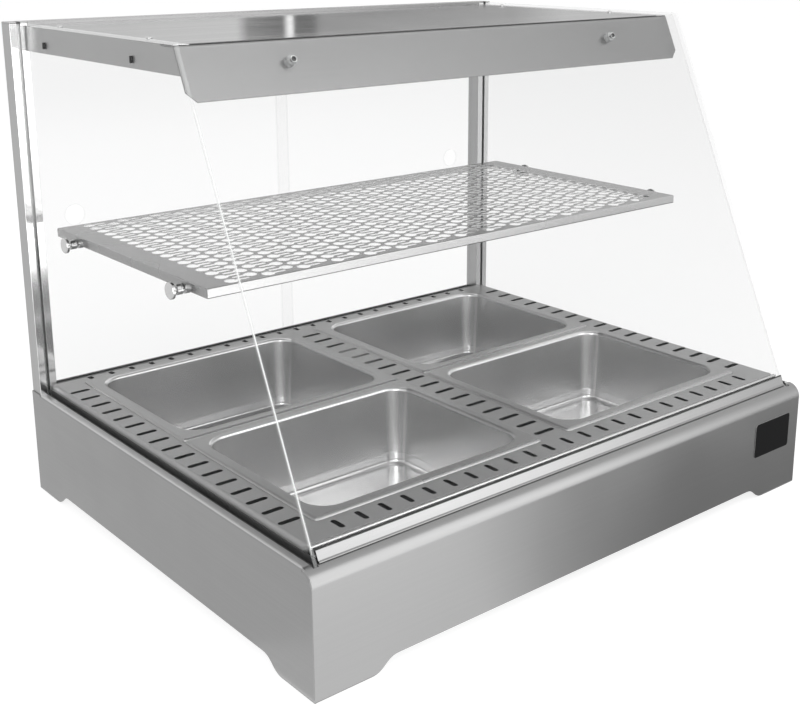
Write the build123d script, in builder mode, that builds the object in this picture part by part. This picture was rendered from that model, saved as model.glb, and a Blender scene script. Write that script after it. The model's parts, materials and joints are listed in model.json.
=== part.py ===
from build123d import *
import os
from math import cos, radians, sin, tan

# Heated display case: a stainless base with four food pans, a glass hood with a
# sloping front, one perforated shelf, a flat roof and two sliding rear doors.
# Millimetres. +Z is up, the front faces -Y, +X is to the right seen from the front.
# The origin is on the counter, under the middle of the case.

# Overall sizes
case_width = 796.0
case_depth = 641.0
case_height = 619.0

# Materials and general fits
sheet = 1.5
glass = 4.0
fit_gap = 0.3
running_gap = 0.05
hex_sides = 6

# Base
ledge_height = 140.0
bullnose_radius = 17.0
panel_lift = 1.0
arch_height = 14.5
front_foot = 70.0
side_foot = 57.0
foot_curve = 35.0
floor_clearance = 3.0
floor_turnup = 12.0
floor_vent_length = 60.0
floor_vent_width = 6.0
floor_vent_pitch_x = 110.0
floor_vent_pitch_y = 90.0
floor_vent_columns = 5
floor_vent_rows = 3
rubber_foot_inset = 42.0
rubber_foot_top_radius = 15.0
rubber_foot_bottom_radius = 12.0
rubber_foot_round = 2.0

# Slot along each side for the side glass
ledge_width = 9.5
slot_width = 6.6
seal_wall = 1.5
seal_floor = 2.0
seat_depth = 12.0

# Uprights
post_width = 23.0
post_depth = 24.0
post_wall = 2.0
post_groove_depth = 8.0
post_cap = 2.0

# Front glass and its rail
front_tilt = 24.5
glass_setback = 7.6
rail_wall = 1.8
rail_seal = 1.5
rail_floor = 4.0
rail_toe = 2.0
rail_toe_height = 1.2
rail_step_height = 2.0
rail_lip_drop = 1.0
rail_gap = 1.5
rail_end_gap = 2.6
front_glass_gap = 0.4
front_glass_top_drop = 2.0
side_glass_lead = 4.7
side_glass_top_drop = 0.5

# Deck
deck_rise = 11.5
deck_edge_radius = 5.0
deck_corner_radius = 10.0
ledge_overlap = 14.0
ledge_return = 10.0
slot_pitch = 30.0
deck_slot_width = 5.0
front_slot_length = 20.0
rear_slot_length = 12.0
side_slot_length = 25.0
middle_slot_length = 30.0
slot_row_margin = 45.0
front_slot_setback = 17.0
slot_column_start = 19.6
slot_column_end = 25.0

# Food pans, half of the standard 530 by 325 format each
pan_length = 325.0
pan_width = 265.0
pan_depth = 100.0
pan_sheet = 1.0
pan_flange_x = 16.5
pan_flange_y = 17.0
pan_rim_corner = 7.0
pan_corner = 28.0
pan_lip = 3.0
pan_taper = 4.0
pan_bead_drop = 84.0
pan_bead_step = 2.0
pan_floor_radius = 9.0
pan_column_gap = 41.2
pan_gap = 0.4
pan_front_margin = 37.3
pan_clearance = 1.0

# Shelf and its studs
shelf_side_gap = 23.0
shelf_rear_gap = 43.0
shelf_depth = 364.2
shelf_height = 368.8
shelf_sheet = 1.2
shelf_flange = 10.5
shelf_ledge = 5.0
keyhole_head = 14.0
keyhole_stem = 4.8
keyhole_length = 29.5
keyhole_shift = 14.1
keyhole_pitch_x = 46.2
keyhole_pitch_y = 19.9
keyhole_margin_x = 28.0
keyhole_margin_y = 12.0
stud_inset = 53.0
stud_disc_radius = 9.5
stud_disc = 4.0
stud_neck_radius = 3.0
stud_collar_radius = 6.0
stud_groove_radius = 4.0
stud_groove = 2.4
stud_end = 7.0
stud_round = 1.0

# Roof
roof_drop = 4.8
roof_inset = 17.9
roof_rail_height = 29.5
roof_top_flange = 32.0
roof_bottom_flange = 15.0
fascia_length = 60.4
fascia_chamfer = 11.0
fascia_flange = 26.0
roof_cap_height = 4.3
roof_cap_round = 1.2
ceiling_front_gap = 16.0
ceiling_rear_gap = 5.0
bumper_length = 8.0
bumper_width = 4.0
bumper_drop = 20.0
bumper_front_y = 14.5
bumper_rear_y = 234.5

# Screws that hold the front glass and the roof
spacer_length = 7.0
spacer_radius = 6.0
glass_screw_x = 250.0
glass_screw_drop = 26.0
glass_screw_radius = 2.5
glass_screw_head_radius = 5.0
glass_screw_head = 3.2
glass_screw_round = 1.5
glass_nut_across = 8.0
glass_nut = 4.0
screw_clearance = 0.3
roof_screw_inset = 37.0
roof_screw_front_y = 10.5
roof_screw_rear_y = 231.5
roof_screw_radius = 2.0
roof_screw_head_radius = 4.2
roof_screw_head = 2.6
roof_screw_round = 1.2
roof_screw_length = 8.0

# Rear doors and their tracks
door_pitch = 10.0
door_groove = 5.5
door_overlap = 20.0
door_side_gap = 0.5
door_engagement = 8.0
door_corner = 3.0
finger_hole_radius = 13.5
finger_hole_inset = 45.0
finger_hole_height = 371.0
track_drop = 5.5
track_height = 26.0
track_groove_depth = 8.0
header_height = 26.0
header_groove_depth = 14.0

# Heating under the pans
tray_gap = 10.0
tray_sheet = 1.2
tray_edge = 14.0
tray_side_margin = 25.0
tray_front_margin = 40.0
tray_rear_margin = 22.0
standoff_radius = 7.0
standoff_inset = 60.0
element_radius = 4.25
element_bar = 4.0
element_bar_width = 12.0
element_bar_inset = 110.0
element_leg_pitch = 70.0
element_bend_radius = 34.0
element_front_margin = 70.0
element_rear_margin = 60.0
element_return_margin = 130.0
insulator_radius = 7.0
insulator_length = 18.0
insulator_bore_gap = 0.2
terminal_length = 64.0
terminal_width = 22.0
terminal_height = 18.0
terminal_rear_gap = 30.0
terminal_screw_radius = 3.0
terminal_screw_depth = 6.0
terminal_pitch = 18.0
terminal_columns = 2
terminal_rows = 3

# Controls on the rear panel
control_height = 74.0
knob_x = 250.0
power_switch_x = 180.0
light_switch_x = 140.0
pilot_lamp_x = 105.0
gland_x = -330.0
gland_height = 50.0
knob_skirt_radius = 20.0
knob_skirt = 3.0
knob_radius = 14.0
knob_length = 12.0
knob_pointer = 3.0
knob_pointer_height = 1.5
knob_round = 1.5
knob_gap = 1.2
knob_bore_depth = 9.0
shaft_radius = 3.0
shaft_fit = 0.02
bush_radius = 5.0
bush_stand = 0.8
thermostat_size = 38.0
thermostat_depth = 26.0
switch_width = 12.4
switch_height = 19.4
switch_depth = 16.0
switch_bezel = 1.5
switch_bezel_thickness = 2.0
rocker_width = 10.0
rocker_height = 15.2
rocker_cavity_depth = 9.0
rocker_end_gap = 1.0
rocker_pivot_depth = 1.5
rocker_valley = 3.6
rocker_crest = 5.0
rocker_back = 3.0
rocker_back_half = 5.0
rocker_tilt = 10.0
rocker_pin_radius = 1.0
rocker_pin_length = 0.8
pilot_lamp_radius = 5.5
pilot_lamp_body_radius = 4.0
pilot_lamp_dome = 3.0
pilot_lamp_round = 2.0
pilot_lamp_depth = 18.0
gland_across = 22.0
gland_hex = 6.0
gland_dome = 10.0
gland_dome_wall = 1.0
gland_thread_radius = 8.0
gland_bore_radius = 4.0
gland_nut = 5.0
rear_vent_count = 12
rear_vent_pitch = 14.0
rear_vent_x = -90.0
rear_vent_width = 5.0
rear_vent_length = 46.0
cutout_gap = 0.2

# Light under the roof
lamp_radius = 8.0
lamp_length = 520.0
lamp_drop = 20.0
lamp_y = 90.0
lamp_cap_radius = 8.6
lamp_cap = 12.0
holder_width = 26.0
holder_thickness = 10.0
holder_below = 8.0

# Badge plate on the front panel, left blank
badge_width = 74.0
badge_height = 47.0
badge_thickness = 0.8
badge_corner = 4.0
badge_right = 21.0
badge_low = 60.0

# Places worked out from the sizes above
side = case_width / 2
front = -case_depth / 2
rear = case_depth / 2
inner_side = side - sheet
deck_height = ledge_height + deck_rise
lip_top = ledge_height - seat_depth
floor_height = panel_lift + arch_height + floor_clearance
floor_top = floor_height + sheet
post_front = rear - post_depth
post_inner = inner_side - post_width
tilt = radians(front_tilt)
glass_y = front + bullnose_radius + glass_setback
glass_plane = Plane(origin=(0, glass_y, deck_height), x_dir=(1, 0, 0), z_dir=(0, -cos(tilt), sin(tilt)))


def along_glass(height, offset):
    """Y at a height on a line parallel to the front glass, offset to the rear of its middle."""
    return glass_y + (height - deck_height) * tan(tilt) + offset / cos(tilt)


def save(part, name):
    """Label a finished piece and write it to its own file."""
    part.label = name
    export_step(part, f"parts/{name}.step")


def save_pair(part, name):
    """Write a left-hand piece and its mirror image on the right."""
    save(part, f"{name}_left")
    with BuildPart() as right_hand:
        mirror(part, about=Plane.YZ)
    save(right_hand.part, f"{name}_right")


os.makedirs("parts", exist_ok=True)

side_glass_outer = side - ledge_width - seal_wall
side_glass_inner = side_glass_outer - glass
side_glass_edge = -(glass / 2 + side_glass_lead)
slot_inner = side - ledge_width - slot_width
slot_front = along_glass(ledge_height - 2 * sheet, side_glass_edge) - fit_gap
ledge_front = front + bullnose_radius
groove_height = ledge_height + rail_floor
rail_outer = -(glass / 2 + rail_seal + rail_wall)
rail_inner = glass / 2 + fit_gap + rail_wall
rail_rear = along_glass(deck_height, rail_inner)
deck_front = rail_rear + rail_gap
deck_rear = post_front - fit_gap
ledge_rear = deck_front + ledge_overlap
panel_front = post_front - sheet


# Base panels


def arch_outline(start, finish, foot):
    """Closed outline of the arch under a base panel, between its two feet."""
    top = panel_lift + arch_height
    bend = foot_curve / 2
    first = start + foot
    last = finish - foot
    Bezier((first, panel_lift), (first + bend, panel_lift), (first + bend, top), (first + foot_curve, top))
    Line((first + foot_curve, top), (last - foot_curve, top))
    Bezier((last - foot_curve, top), (last - bend, top), (last - bend, panel_lift), (last, panel_lift))
    Line((last, panel_lift), (first, panel_lift))


with BuildPart() as base_side:
    with BuildSketch(Plane.YZ.offset(-side)):
        with BuildLine():
            Line((front, panel_lift), (rear, panel_lift))
            Line((rear, panel_lift), (rear, ledge_height))
            Line((rear, ledge_height), (ledge_front, ledge_height))
            CenterArc((ledge_front, ledge_height - bullnose_radius), bullnose_radius, 90, 90)
            Line((front, ledge_height - bullnose_radius), (front, panel_lift))
        make_face()
    extrude(amount=sheet)
    with BuildSketch(Plane.YZ.offset(-side)):
        with BuildLine():
            arch_outline(front, rear, side_foot)
        make_face()
    extrude(amount=sheet, mode=Mode.SUBTRACT)
    with BuildSketch(Plane.XY.offset(ledge_height - sheet)):
        with Locations((-side, ledge_front)):
            Rectangle(ledge_width, post_front - fit_gap - ledge_front, align=(Align.MIN, Align.MIN))
    extrude(amount=sheet)
save_pair(base_side.part, "base_side")

with BuildPart() as base_front_panel:
    bend_z = ledge_height - bullnose_radius
    return_z = ledge_height - ledge_return
    with BuildSketch(Plane.YZ.offset(-inner_side)):
        with BuildLine():
            Line((front, panel_lift), (front, bend_z))
            CenterArc((ledge_front, bend_z), bullnose_radius, 90, 90)
            Line((ledge_front, ledge_height), (ledge_rear, ledge_height))
            Line((ledge_rear, ledge_height), (ledge_rear, return_z))
            Line((ledge_rear, return_z), (ledge_rear - sheet, return_z))
            Line((ledge_rear - sheet, return_z), (ledge_rear - sheet, ledge_height - sheet))
            Line((ledge_rear - sheet, ledge_height - sheet), (ledge_front, ledge_height - sheet))
            CenterArc((ledge_front, bend_z), bullnose_radius - sheet, 90, 90)
            Line((front + sheet, bend_z), (front + sheet, panel_lift))
            Line((front + sheet, panel_lift), (front, panel_lift))
        make_face()
    extrude(amount=2 * inner_side)
    with BuildSketch(Plane.XZ.offset(-front)):
        with BuildLine():
            arch_outline(-side, side, front_foot)
        make_face()
    extrude(amount=-sheet, mode=Mode.SUBTRACT)
    # The side glass passes through a slot at each end, and the ledge stops where the side panel's own begins.
    with BuildSketch(Plane.XY.offset(return_z)):
        slot_outer = slot_inner + slot_width
        for end in (-1, 1):
            with Locations((end * (slot_outer + slot_inner) / 2, slot_front)):
                Rectangle(slot_width, ledge_rear - slot_front, align=(Align.CENTER, Align.MIN))
            with Locations((end * (inner_side + slot_inner) / 2, ledge_front)):
                Rectangle(inner_side - slot_inner, ledge_rear - ledge_front, align=(Align.CENTER, Align.MIN))
    extrude(amount=ledge_return, mode=Mode.SUBTRACT)
save(base_front_panel.part, "base_front_panel")

with BuildPart() as base_floor:
    floor_front = front + sheet
    with BuildSketch(Plane.XY.offset(floor_height)):
        with Locations((0, floor_front)):
            Rectangle(2 * inner_side, rear - floor_front, align=(Align.CENTER, Align.MIN))
    extrude(amount=sheet)
    with BuildSketch(Plane.XY.offset(floor_top)):
        with Locations((0, floor_front)):
            Rectangle(2 * inner_side, panel_front - floor_front, align=(Align.CENTER, Align.MIN))
        with Locations((0, floor_front + sheet)):
            Rectangle(
                2 * (inner_side - sheet),
                panel_front - floor_front,
                align=(Align.CENTER, Align.MIN),
                mode=Mode.SUBTRACT,
            )
    extrude(amount=floor_turnup - sheet)
    with BuildSketch(Plane.XY.offset(floor_height)):
        with GridLocations(floor_vent_pitch_x, floor_vent_pitch_y, floor_vent_columns, floor_vent_rows):
            SlotOverall(floor_vent_length, floor_vent_width)
    extrude(amount=sheet, mode=Mode.SUBTRACT)
save(base_floor.part, "base_floor")

with BuildPart() as rubber_feet:
    with GridLocations(2 * (side - rubber_foot_inset), 2 * (rear - rubber_foot_inset), 2, 2):
        Cone(
            rubber_foot_bottom_radius,
            rubber_foot_top_radius,
            floor_height,
            align=(Align.CENTER, Align.CENTER, Align.MIN),
        )
    fillet(rubber_feet.edges().filter_by(GeomType.CIRCLE).group_by(Axis.Z)[0], rubber_foot_round)
save(rubber_feet.part, "rubber_feet")

with BuildPart() as badge_plate:
    badge_x = side - badge_right - badge_width / 2
    badge_z = badge_low + badge_height / 2
    with BuildSketch(Plane.XZ.offset(-front)):
        with Locations((badge_x, badge_z)):
            RectangleRounded(badge_width, badge_height, badge_corner)
    extrude(amount=badge_thickness)
save(badge_plate.part, "badge_plate")


# Rear panel with the controls

panel_face = Plane(origin=(0, post_front, 0), x_dir=(-1, 0, 0), z_dir=(0, 1, 0))
switch_places = (("power_switch", power_switch_x), ("light_switch", light_switch_x))

with BuildPart() as base_rear_panel:
    with BuildSketch(panel_face):
        with Locations((0, floor_top)):
            Rectangle(2 * inner_side, lip_top - floor_top, align=(Align.CENTER, Align.MIN))
        with Locations((-knob_x, control_height)):
            Circle(bush_radius + cutout_gap, mode=Mode.SUBTRACT)
        with Locations((-power_switch_x, control_height), (-light_switch_x, control_height)):
            Rectangle(switch_width + 2 * cutout_gap, switch_height + 2 * cutout_gap, mode=Mode.SUBTRACT)
        with Locations((-pilot_lamp_x, control_height)):
            Circle(pilot_lamp_body_radius + cutout_gap, mode=Mode.SUBTRACT)
        with Locations((-gland_x, gland_height)):
            Circle(gland_thread_radius + cutout_gap, mode=Mode.SUBTRACT)
        with Locations((-rear_vent_x, control_height)):
            with GridLocations(rear_vent_pitch, 0, rear_vent_count, 1):
                SlotOverall(rear_vent_length, rear_vent_width, rotation=90, mode=Mode.SUBTRACT)
    extrude(amount=-sheet)
save(base_rear_panel.part, "base_rear_panel")

with BuildPart(panel_face) as thermostat_body:
    low_end = (Align.CENTER, Align.CENTER, Align.MAX)
    with Locations((-knob_x, control_height, -sheet)):
        Box(thermostat_size, thermostat_size, thermostat_depth, align=low_end)
    with Locations((-knob_x, control_height, bush_stand)):
        Cylinder(bush_radius, sheet + bush_stand, align=low_end)
        Cylinder(shaft_radius + running_gap, sheet + bush_stand + thermostat_depth / 2, align=low_end,
                 mode=Mode.SUBTRACT)
save(thermostat_body.part, "thermostat_body")

with BuildPart(panel_face) as thermostat_shaft:
    shaft_back = -(sheet + thermostat_depth / 2 - fit_gap)
    with Locations((-knob_x, control_height, shaft_back)):
        Cylinder(shaft_radius, knob_gap + knob_bore_depth - fit_gap - shaft_back,
                 align=(Align.CENTER, Align.CENTER, Align.MIN))
save(thermostat_shaft.part, "thermostat_shaft")

with BuildPart(panel_face) as thermostat_knob:
    outward = (Align.CENTER, Align.CENTER, Align.MIN)
    with Locations((-knob_x, control_height, knob_gap)):
        Cylinder(knob_skirt_radius, knob_skirt, align=outward)
        Cylinder(knob_radius, knob_skirt + knob_length, align=outward)
    fillet(thermostat_knob.faces().sort_by(Axis.Y)[-1].edges(), knob_round)
    with Locations((-knob_x, control_height + knob_radius / 2, knob_gap + knob_skirt)):
        Box(knob_pointer, knob_radius, knob_length + knob_pointer_height, align=outward)
    with Locations((-knob_x, control_height, knob_gap)):
        Cylinder(shaft_radius + shaft_fit, knob_bore_depth, align=outward, mode=Mode.SUBTRACT)
save(thermostat_knob.part, "thermostat_knob")

for switch_name, switch_x in switch_places:
    with BuildPart(panel_face) as switch_frame:
        with Locations((-switch_x, control_height, 0)):
            Box(switch_width, switch_height, switch_depth, align=(Align.CENTER, Align.CENTER, Align.MAX))
            Box(switch_width + 2 * switch_bezel, switch_height + 2 * switch_bezel, switch_bezel_thickness,
                align=(Align.CENTER, Align.CENTER, Align.MIN))
        with Locations((-switch_x, control_height, switch_bezel_thickness)):
            Box(rocker_width + 2 * cutout_gap, rocker_height + 2 * rocker_end_gap,
                rocker_cavity_depth + switch_bezel_thickness,
                align=(Align.CENTER, Align.CENTER, Align.MAX), mode=Mode.SUBTRACT)
        with Locations((-switch_x, control_height, -rocker_pivot_depth)):
            Cylinder(rocker_pin_radius + running_gap,
                     rocker_width + 2 * (rocker_pin_length + running_gap),
                     rotation=(0, 90, 0), mode=Mode.SUBTRACT)
    save(switch_frame.part, f"{switch_name}_frame")

    # The rocker rests with its lower half pressed in, turned by its tilt about the pivot pins.
    outward = (0, cos(radians(rocker_tilt)), -sin(radians(rocker_tilt)))
    pivot = Plane(origin=(switch_x - rocker_width / 2, post_front - rocker_pivot_depth, control_height),
                  x_dir=outward, z_dir=(1, 0, 0))
    half = rocker_height / 2
    with BuildPart() as switch_rocker:
        with BuildSketch(pivot):
            with BuildLine():
                Polyline((rocker_valley, 0), (rocker_crest, half), (-rocker_back, rocker_back_half),
                         (-rocker_back, -rocker_back_half), (rocker_crest, -half), close=True)
            make_face()
        extrude(amount=rocker_width)
        with BuildSketch(pivot.offset(-rocker_pin_length)):
            Circle(rocker_pin_radius)
        extrude(amount=rocker_width + 2 * rocker_pin_length)
    save(switch_rocker.part, f"{switch_name}_rocker")

with BuildPart(panel_face) as pilot_lamp:
    with Locations((-pilot_lamp_x, control_height, 0)):
        Cylinder(pilot_lamp_body_radius, pilot_lamp_depth, align=(Align.CENTER, Align.CENTER, Align.MAX))
        Cylinder(pilot_lamp_radius, pilot_lamp_dome, align=(Align.CENTER, Align.CENTER, Align.MIN))
    fillet(pilot_lamp.faces().sort_by(Axis.Y)[-1].edges(), pilot_lamp_round)
save(pilot_lamp.part, "pilot_lamp")

with BuildPart(panel_face) as cable_gland:
    with BuildSketch(panel_face):
        with Locations((-gland_x, gland_height)):
            RegularPolygon(gland_across / 2, hex_sides, major_radius=False)
    extrude(amount=gland_hex)
    with BuildSketch(panel_face.offset(-sheet)):
        with Locations((-gland_x, gland_height)):
            RegularPolygon(gland_across / 2, hex_sides, major_radius=False)
    extrude(amount=-gland_nut)
    with Locations((-gland_x, gland_height, gland_hex)):
        Cone(gland_thread_radius + gland_dome_wall, gland_bore_radius + gland_dome_wall, gland_dome,
             align=(Align.CENTER, Align.CENTER, Align.MIN))
        Cylinder(gland_thread_radius, gland_hex + sheet + gland_nut,
                 align=(Align.CENTER, Align.CENTER, Align.MAX))
    with Locations((-gland_x, gland_height, gland_hex + gland_dome)):
        Cylinder(gland_bore_radius, gland_dome + gland_hex + sheet + gland_nut,
                 align=(Align.CENTER, Align.CENTER, Align.MAX), mode=Mode.SUBTRACT)
save(cable_gland.part, "cable_gland")


# Food pans

pan_open_x = pan_length - 2 * pan_flange_x
pan_open_y = pan_width - 2 * pan_flange_y
pan_front = deck_front + pan_front_margin
pan_middle = pan_front + pan_width + pan_gap / 2
pan_rear = pan_middle + pan_width + pan_gap / 2
pan_column = (pan_column_gap + pan_length) / 2
pan_row = (pan_width + pan_gap) / 2
pan_shoulder = pan_bead_drop * tan(radians(pan_taper))


def pan_form(wall):
    """Solid of a pan's tapered hollow with its bead step, grown outwards by a wall."""
    with BuildPart() as form:
        for depth, inset in ((-pan_sheet, 0), (pan_bead_drop + wall, pan_shoulder)):
            with BuildSketch(Plane.XY.offset(-depth)):
                grow = 2 * (wall - inset)
                RectangleRounded(pan_open_x + grow, pan_open_y + grow, pan_corner + wall - inset)
        loft()
        with BuildSketch(Plane.XY.offset(-pan_bead_drop - wall)):
            inset = pan_shoulder + pan_bead_step
            grow = 2 * (wall - inset)
            RectangleRounded(pan_open_x + grow, pan_open_y + grow, pan_corner + wall - inset)
        extrude(amount=-(pan_depth - pan_bead_drop))
        fillet(form.faces().sort_by(Axis.Z)[0].edges(), pan_floor_radius + wall)
    return form.part


pan_hollow = pan_form(0)
with BuildPart() as pan:
    add(pan_form(pan_sheet))
    with BuildSketch(Plane.XY):
        RectangleRounded(pan_length, pan_width, pan_rim_corner)
    extrude(amount=pan_sheet)
    under_rim = pan.faces().filter_by(Plane.XY).group_by(Axis.Z)[-2].sort_by(SortBy.AREA)[-1]
    fillet(under_rim.inner_wires()[0].edges(), pan_lip)
    add(pan_hollow, mode=Mode.SUBTRACT)
    fillet(pan.faces().sort_by(Axis.Z)[-1].inner_wires()[0].edges(), pan_lip + pan_sheet)

pan_places = (
    ("pan_front_left", -pan_column, pan_middle - pan_row),
    ("pan_front_right", pan_column, pan_middle - pan_row),
    ("pan_rear_left", -pan_column, pan_middle + pan_row),
    ("pan_rear_right", pan_column, pan_middle + pan_row),
)
for pan_name, pan_x, pan_y in pan_places:
    with BuildPart() as placed_pan:
        with Locations((pan_x, pan_y, deck_height)):
            add(pan.part)
    save(placed_pan.part, pan_name)


# Deck that carries the pans


def deck_form(wall):
    """Solid from the skirt's foot to the deck's top, shrunk inwards by a wall."""
    with BuildPart() as form:
        with BuildSketch(Plane.XY.offset(lip_top)) as outline:
            with Locations((0, deck_front + wall)):
                Rectangle(2 * (slot_inner - wall), deck_rear - deck_front - 2 * wall,
                          align=(Align.CENTER, Align.MIN))
            fillet(outline.vertices().group_by(Axis.Y)[0], deck_corner_radius - wall)
        extrude(amount=deck_height - wall - lip_top)
        fillet(form.faces().sort_by(Axis.Z)[-1].edges(), deck_edge_radius - wall)
    return form.part


deck_hollow = deck_form(sheet)
with BuildPart() as deck_plate:
    add(deck_form(0))
    add(deck_hollow, mode=Mode.SUBTRACT)
    # The front of the skirt is cut back to stand on the front panel's ledge.
    with BuildSketch(Plane.XY.offset(lip_top)):
        with Locations((0, deck_front)):
            Rectangle(2 * slot_inner, ledge_overlap + fit_gap, align=(Align.CENTER, Align.MIN))
    extrude(amount=ledge_height - lip_top, mode=Mode.SUBTRACT)
    # A lip along each side carries the side glass on its seal and meets the side panel.
    with BuildSketch(Plane.XY.offset(lip_top)):
        for end in (-1, 1):
            with Locations((end * (inner_side + slot_inner - sheet) / 2, slot_front)):
                Rectangle(inner_side - slot_inner + sheet, panel_front - fit_gap - slot_front,
                          align=(Align.CENTER, Align.MIN))
    extrude(amount=-sheet)
    with BuildSketch(Plane.XY.offset(deck_height)):
        hole_grow = 2 * (pan_sheet + pan_lip + pan_clearance)
        with Locations((0, pan_middle)):
            with GridLocations(2 * pan_column, 2 * pan_row, 2, 2):
                RectangleRounded(pan_open_x + hole_grow, pan_open_y + hole_grow, pan_corner)
        row_count = int((2 * slot_inner - 2 * slot_row_margin) / slot_pitch) + 1
        with Locations((0, pan_front - front_slot_setback)):
            with GridLocations(slot_pitch, 0, row_count, 1):
                SlotOverall(front_slot_length, deck_slot_width, rotation=90)
        with Locations((0, (pan_rear + deck_rear) / 2)):
            with GridLocations(slot_pitch, 0, row_count, 1):
                SlotOverall(rear_slot_length, deck_slot_width, rotation=90)
        column_first = pan_front + slot_column_start
        column_count = int((pan_rear - slot_column_end - column_first) / slot_pitch) + 1
        column_middle = column_first + (column_count - 1) * slot_pitch / 2
        side_slot_x = (pan_column + pan_length / 2 + slot_inner) / 2
        with Locations((0, column_middle)):
            with GridLocations(2 * side_slot_x, slot_pitch, 2, column_count):
                SlotOverall(side_slot_length, deck_slot_width)
            with GridLocations(0, slot_pitch, 1, column_count):
                SlotOverall(middle_slot_length, deck_slot_width)
    extrude(amount=-sheet, mode=Mode.SUBTRACT)
save(deck_plate.part, "deck_plate")


# Heating under the pans

tray_bottom = floor_top + tray_gap
tray_top = tray_bottom + tray_sheet
tray_half = slot_inner - tray_side_margin
tray_front = deck_front + tray_front_margin
tray_rear = panel_front - tray_rear_margin
element_height = tray_top + element_bar + fit_gap + element_radius

with BuildPart() as heater_tray:
    with BuildSketch(Plane.XY.offset(tray_bottom)):
        with Locations((0, tray_front)):
            Rectangle(2 * tray_half, tray_rear - tray_front, align=(Align.CENTER, Align.MIN))
    extrude(amount=tray_edge)
    with BuildSketch(Plane.XY.offset(tray_top)):
        with Locations((0, tray_front + tray_sheet)):
            Rectangle(2 * (tray_half - tray_sheet), tray_rear - tray_front, align=(Align.CENTER, Align.MIN))
    extrude(amount=tray_edge, mode=Mode.SUBTRACT)
save(heater_tray.part, "heater_tray")

with BuildPart() as tray_standoffs:
    with Locations((0, (tray_front + tray_rear) / 2, floor_top)):
        standoff_depth = tray_rear - tray_front - 2 * standoff_inset
        with GridLocations(2 * (tray_half - standoff_inset), standoff_depth, 2, 2):
            Cylinder(standoff_radius, tray_gap, align=(Align.CENTER, Align.CENTER, Align.MIN))
save(tray_standoffs.part, "tray_standoffs")

element_front = tray_front + element_front_margin
element_end = tray_rear - element_rear_margin
element_return = tray_rear - element_return_margin
leg_outer = 1.5 * element_leg_pitch
leg_inner = 0.5 * element_leg_pitch

with BuildPart() as heating_element:
    with BuildLine(Plane.XY.offset(element_height)) as element_path:
        FilletPolyline(
            (-pan_column - leg_outer, element_end),
            (-pan_column - leg_outer, element_front),
            (-pan_column - leg_inner, element_front),
            (-pan_column - leg_inner, element_return),
            (-pan_column + leg_inner, element_return),
            (-pan_column + leg_inner, element_front),
            (-pan_column + leg_outer, element_front),
            (-pan_column + leg_outer, element_end),
            radius=element_bend_radius,
        )
    with BuildSketch(Plane(element_path.line @ 0, z_dir=element_path.line % 0)):
        Circle(element_radius)
    sweep()
save_pair(heating_element.part, "heating_element")

with BuildPart() as element_bars:
    bar_middle = (element_front + element_return) / 2
    with Locations((0, bar_middle, tray_top)):
        with GridLocations(2 * pan_column, element_return - element_front - 2 * element_bar_inset, 2, 2):
            Box(2 * leg_outer + 2 * element_bar_width, element_bar_width, element_bar,
                align=(Align.CENTER, Align.CENTER, Align.MIN))
save(element_bars.part, "element_bars")

with BuildPart() as element_insulators:
    for column in (-pan_column, pan_column):
        for leg in (-leg_outer, leg_outer):
            with BuildSketch(Plane.XZ.offset(-element_end + insulator_length / 2)):
                with Locations((column + leg, element_height)):
                    Circle(insulator_radius)
                    Circle(element_radius + insulator_bore_gap, mode=Mode.SUBTRACT)
            extrude(amount=-insulator_length)
save(element_insulators.part, "element_insulators")

with BuildPart() as terminal_block:
    terminal_x = -(tray_half + inner_side) / 2
    terminal_y = panel_front - terminal_rear_gap - terminal_length / 2
    with Locations((terminal_x, terminal_y, floor_top)):
        Box(terminal_width, terminal_length, terminal_height, align=(Align.CENTER, Align.CENTER, Align.MIN))
    with Locations((terminal_x, terminal_y, floor_top + terminal_height)):
        with GridLocations(terminal_width / 2, terminal_pitch, terminal_columns, terminal_rows):
            Hole(terminal_screw_radius, terminal_screw_depth)
save(terminal_block.part, "terminal_block")


# Uprights

side_glass_middle = side_glass_outer - glass / 2
post_groove = glass + 2 * fit_gap

with BuildPart() as upright:
    with BuildSketch(Plane.XY.offset(floor_top)):
        with Locations((-inner_side, post_front)):
            Rectangle(post_width, post_depth, align=(Align.MIN, Align.MIN))
        with Locations((-side_glass_middle, post_front)):
            Rectangle(post_groove, post_groove_depth, align=(Align.CENTER, Align.MIN), mode=Mode.SUBTRACT)
        with Locations((-inner_side + post_wall, rear - post_wall)):
            Rectangle(post_width - 2 * post_wall, post_depth - post_groove_depth - 2 * post_wall,
                      align=(Align.MIN, Align.MAX), mode=Mode.SUBTRACT)
    extrude(amount=case_height - post_cap - floor_top)
save_pair(upright.part, "upright")

with BuildPart() as upright_caps:
    with BuildSketch(Plane.XY.offset(case_height - post_cap)):
        for end in (-1, 1):
            with Locations((end * (inner_side - post_width / 2), post_front)):
                Rectangle(post_width, post_depth, align=(Align.CENTER, Align.MIN))
            with Locations((end * side_glass_middle, post_front)):
                Rectangle(post_groove, post_groove_depth, align=(Align.CENTER, Align.MIN),
                          mode=Mode.SUBTRACT)
    extrude(amount=post_cap)
save(upright_caps.part, "upright_caps")


# Front glass, its rail and seal

glass_low_corner = glass / 2 * sin(tilt)
glass_bottom = (groove_height + fit_gap + glass_low_corner - deck_height) / cos(tilt)
front_glass_half = side_glass_inner - front_glass_gap
roof_height = case_height - roof_drop
fascia_offset = glass / 2 + spacer_length
fascia_top = (roof_height - deck_height + fascia_offset * sin(tilt)) / cos(tilt)
glass_top = fascia_top - front_glass_top_drop
glass_screw_y = fascia_top - glass_screw_drop
glass_screw_places = ((-glass_screw_x, glass_screw_y), (glass_screw_x, glass_screw_y))
glass_hole_radius = glass_screw_radius + screw_clearance

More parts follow.
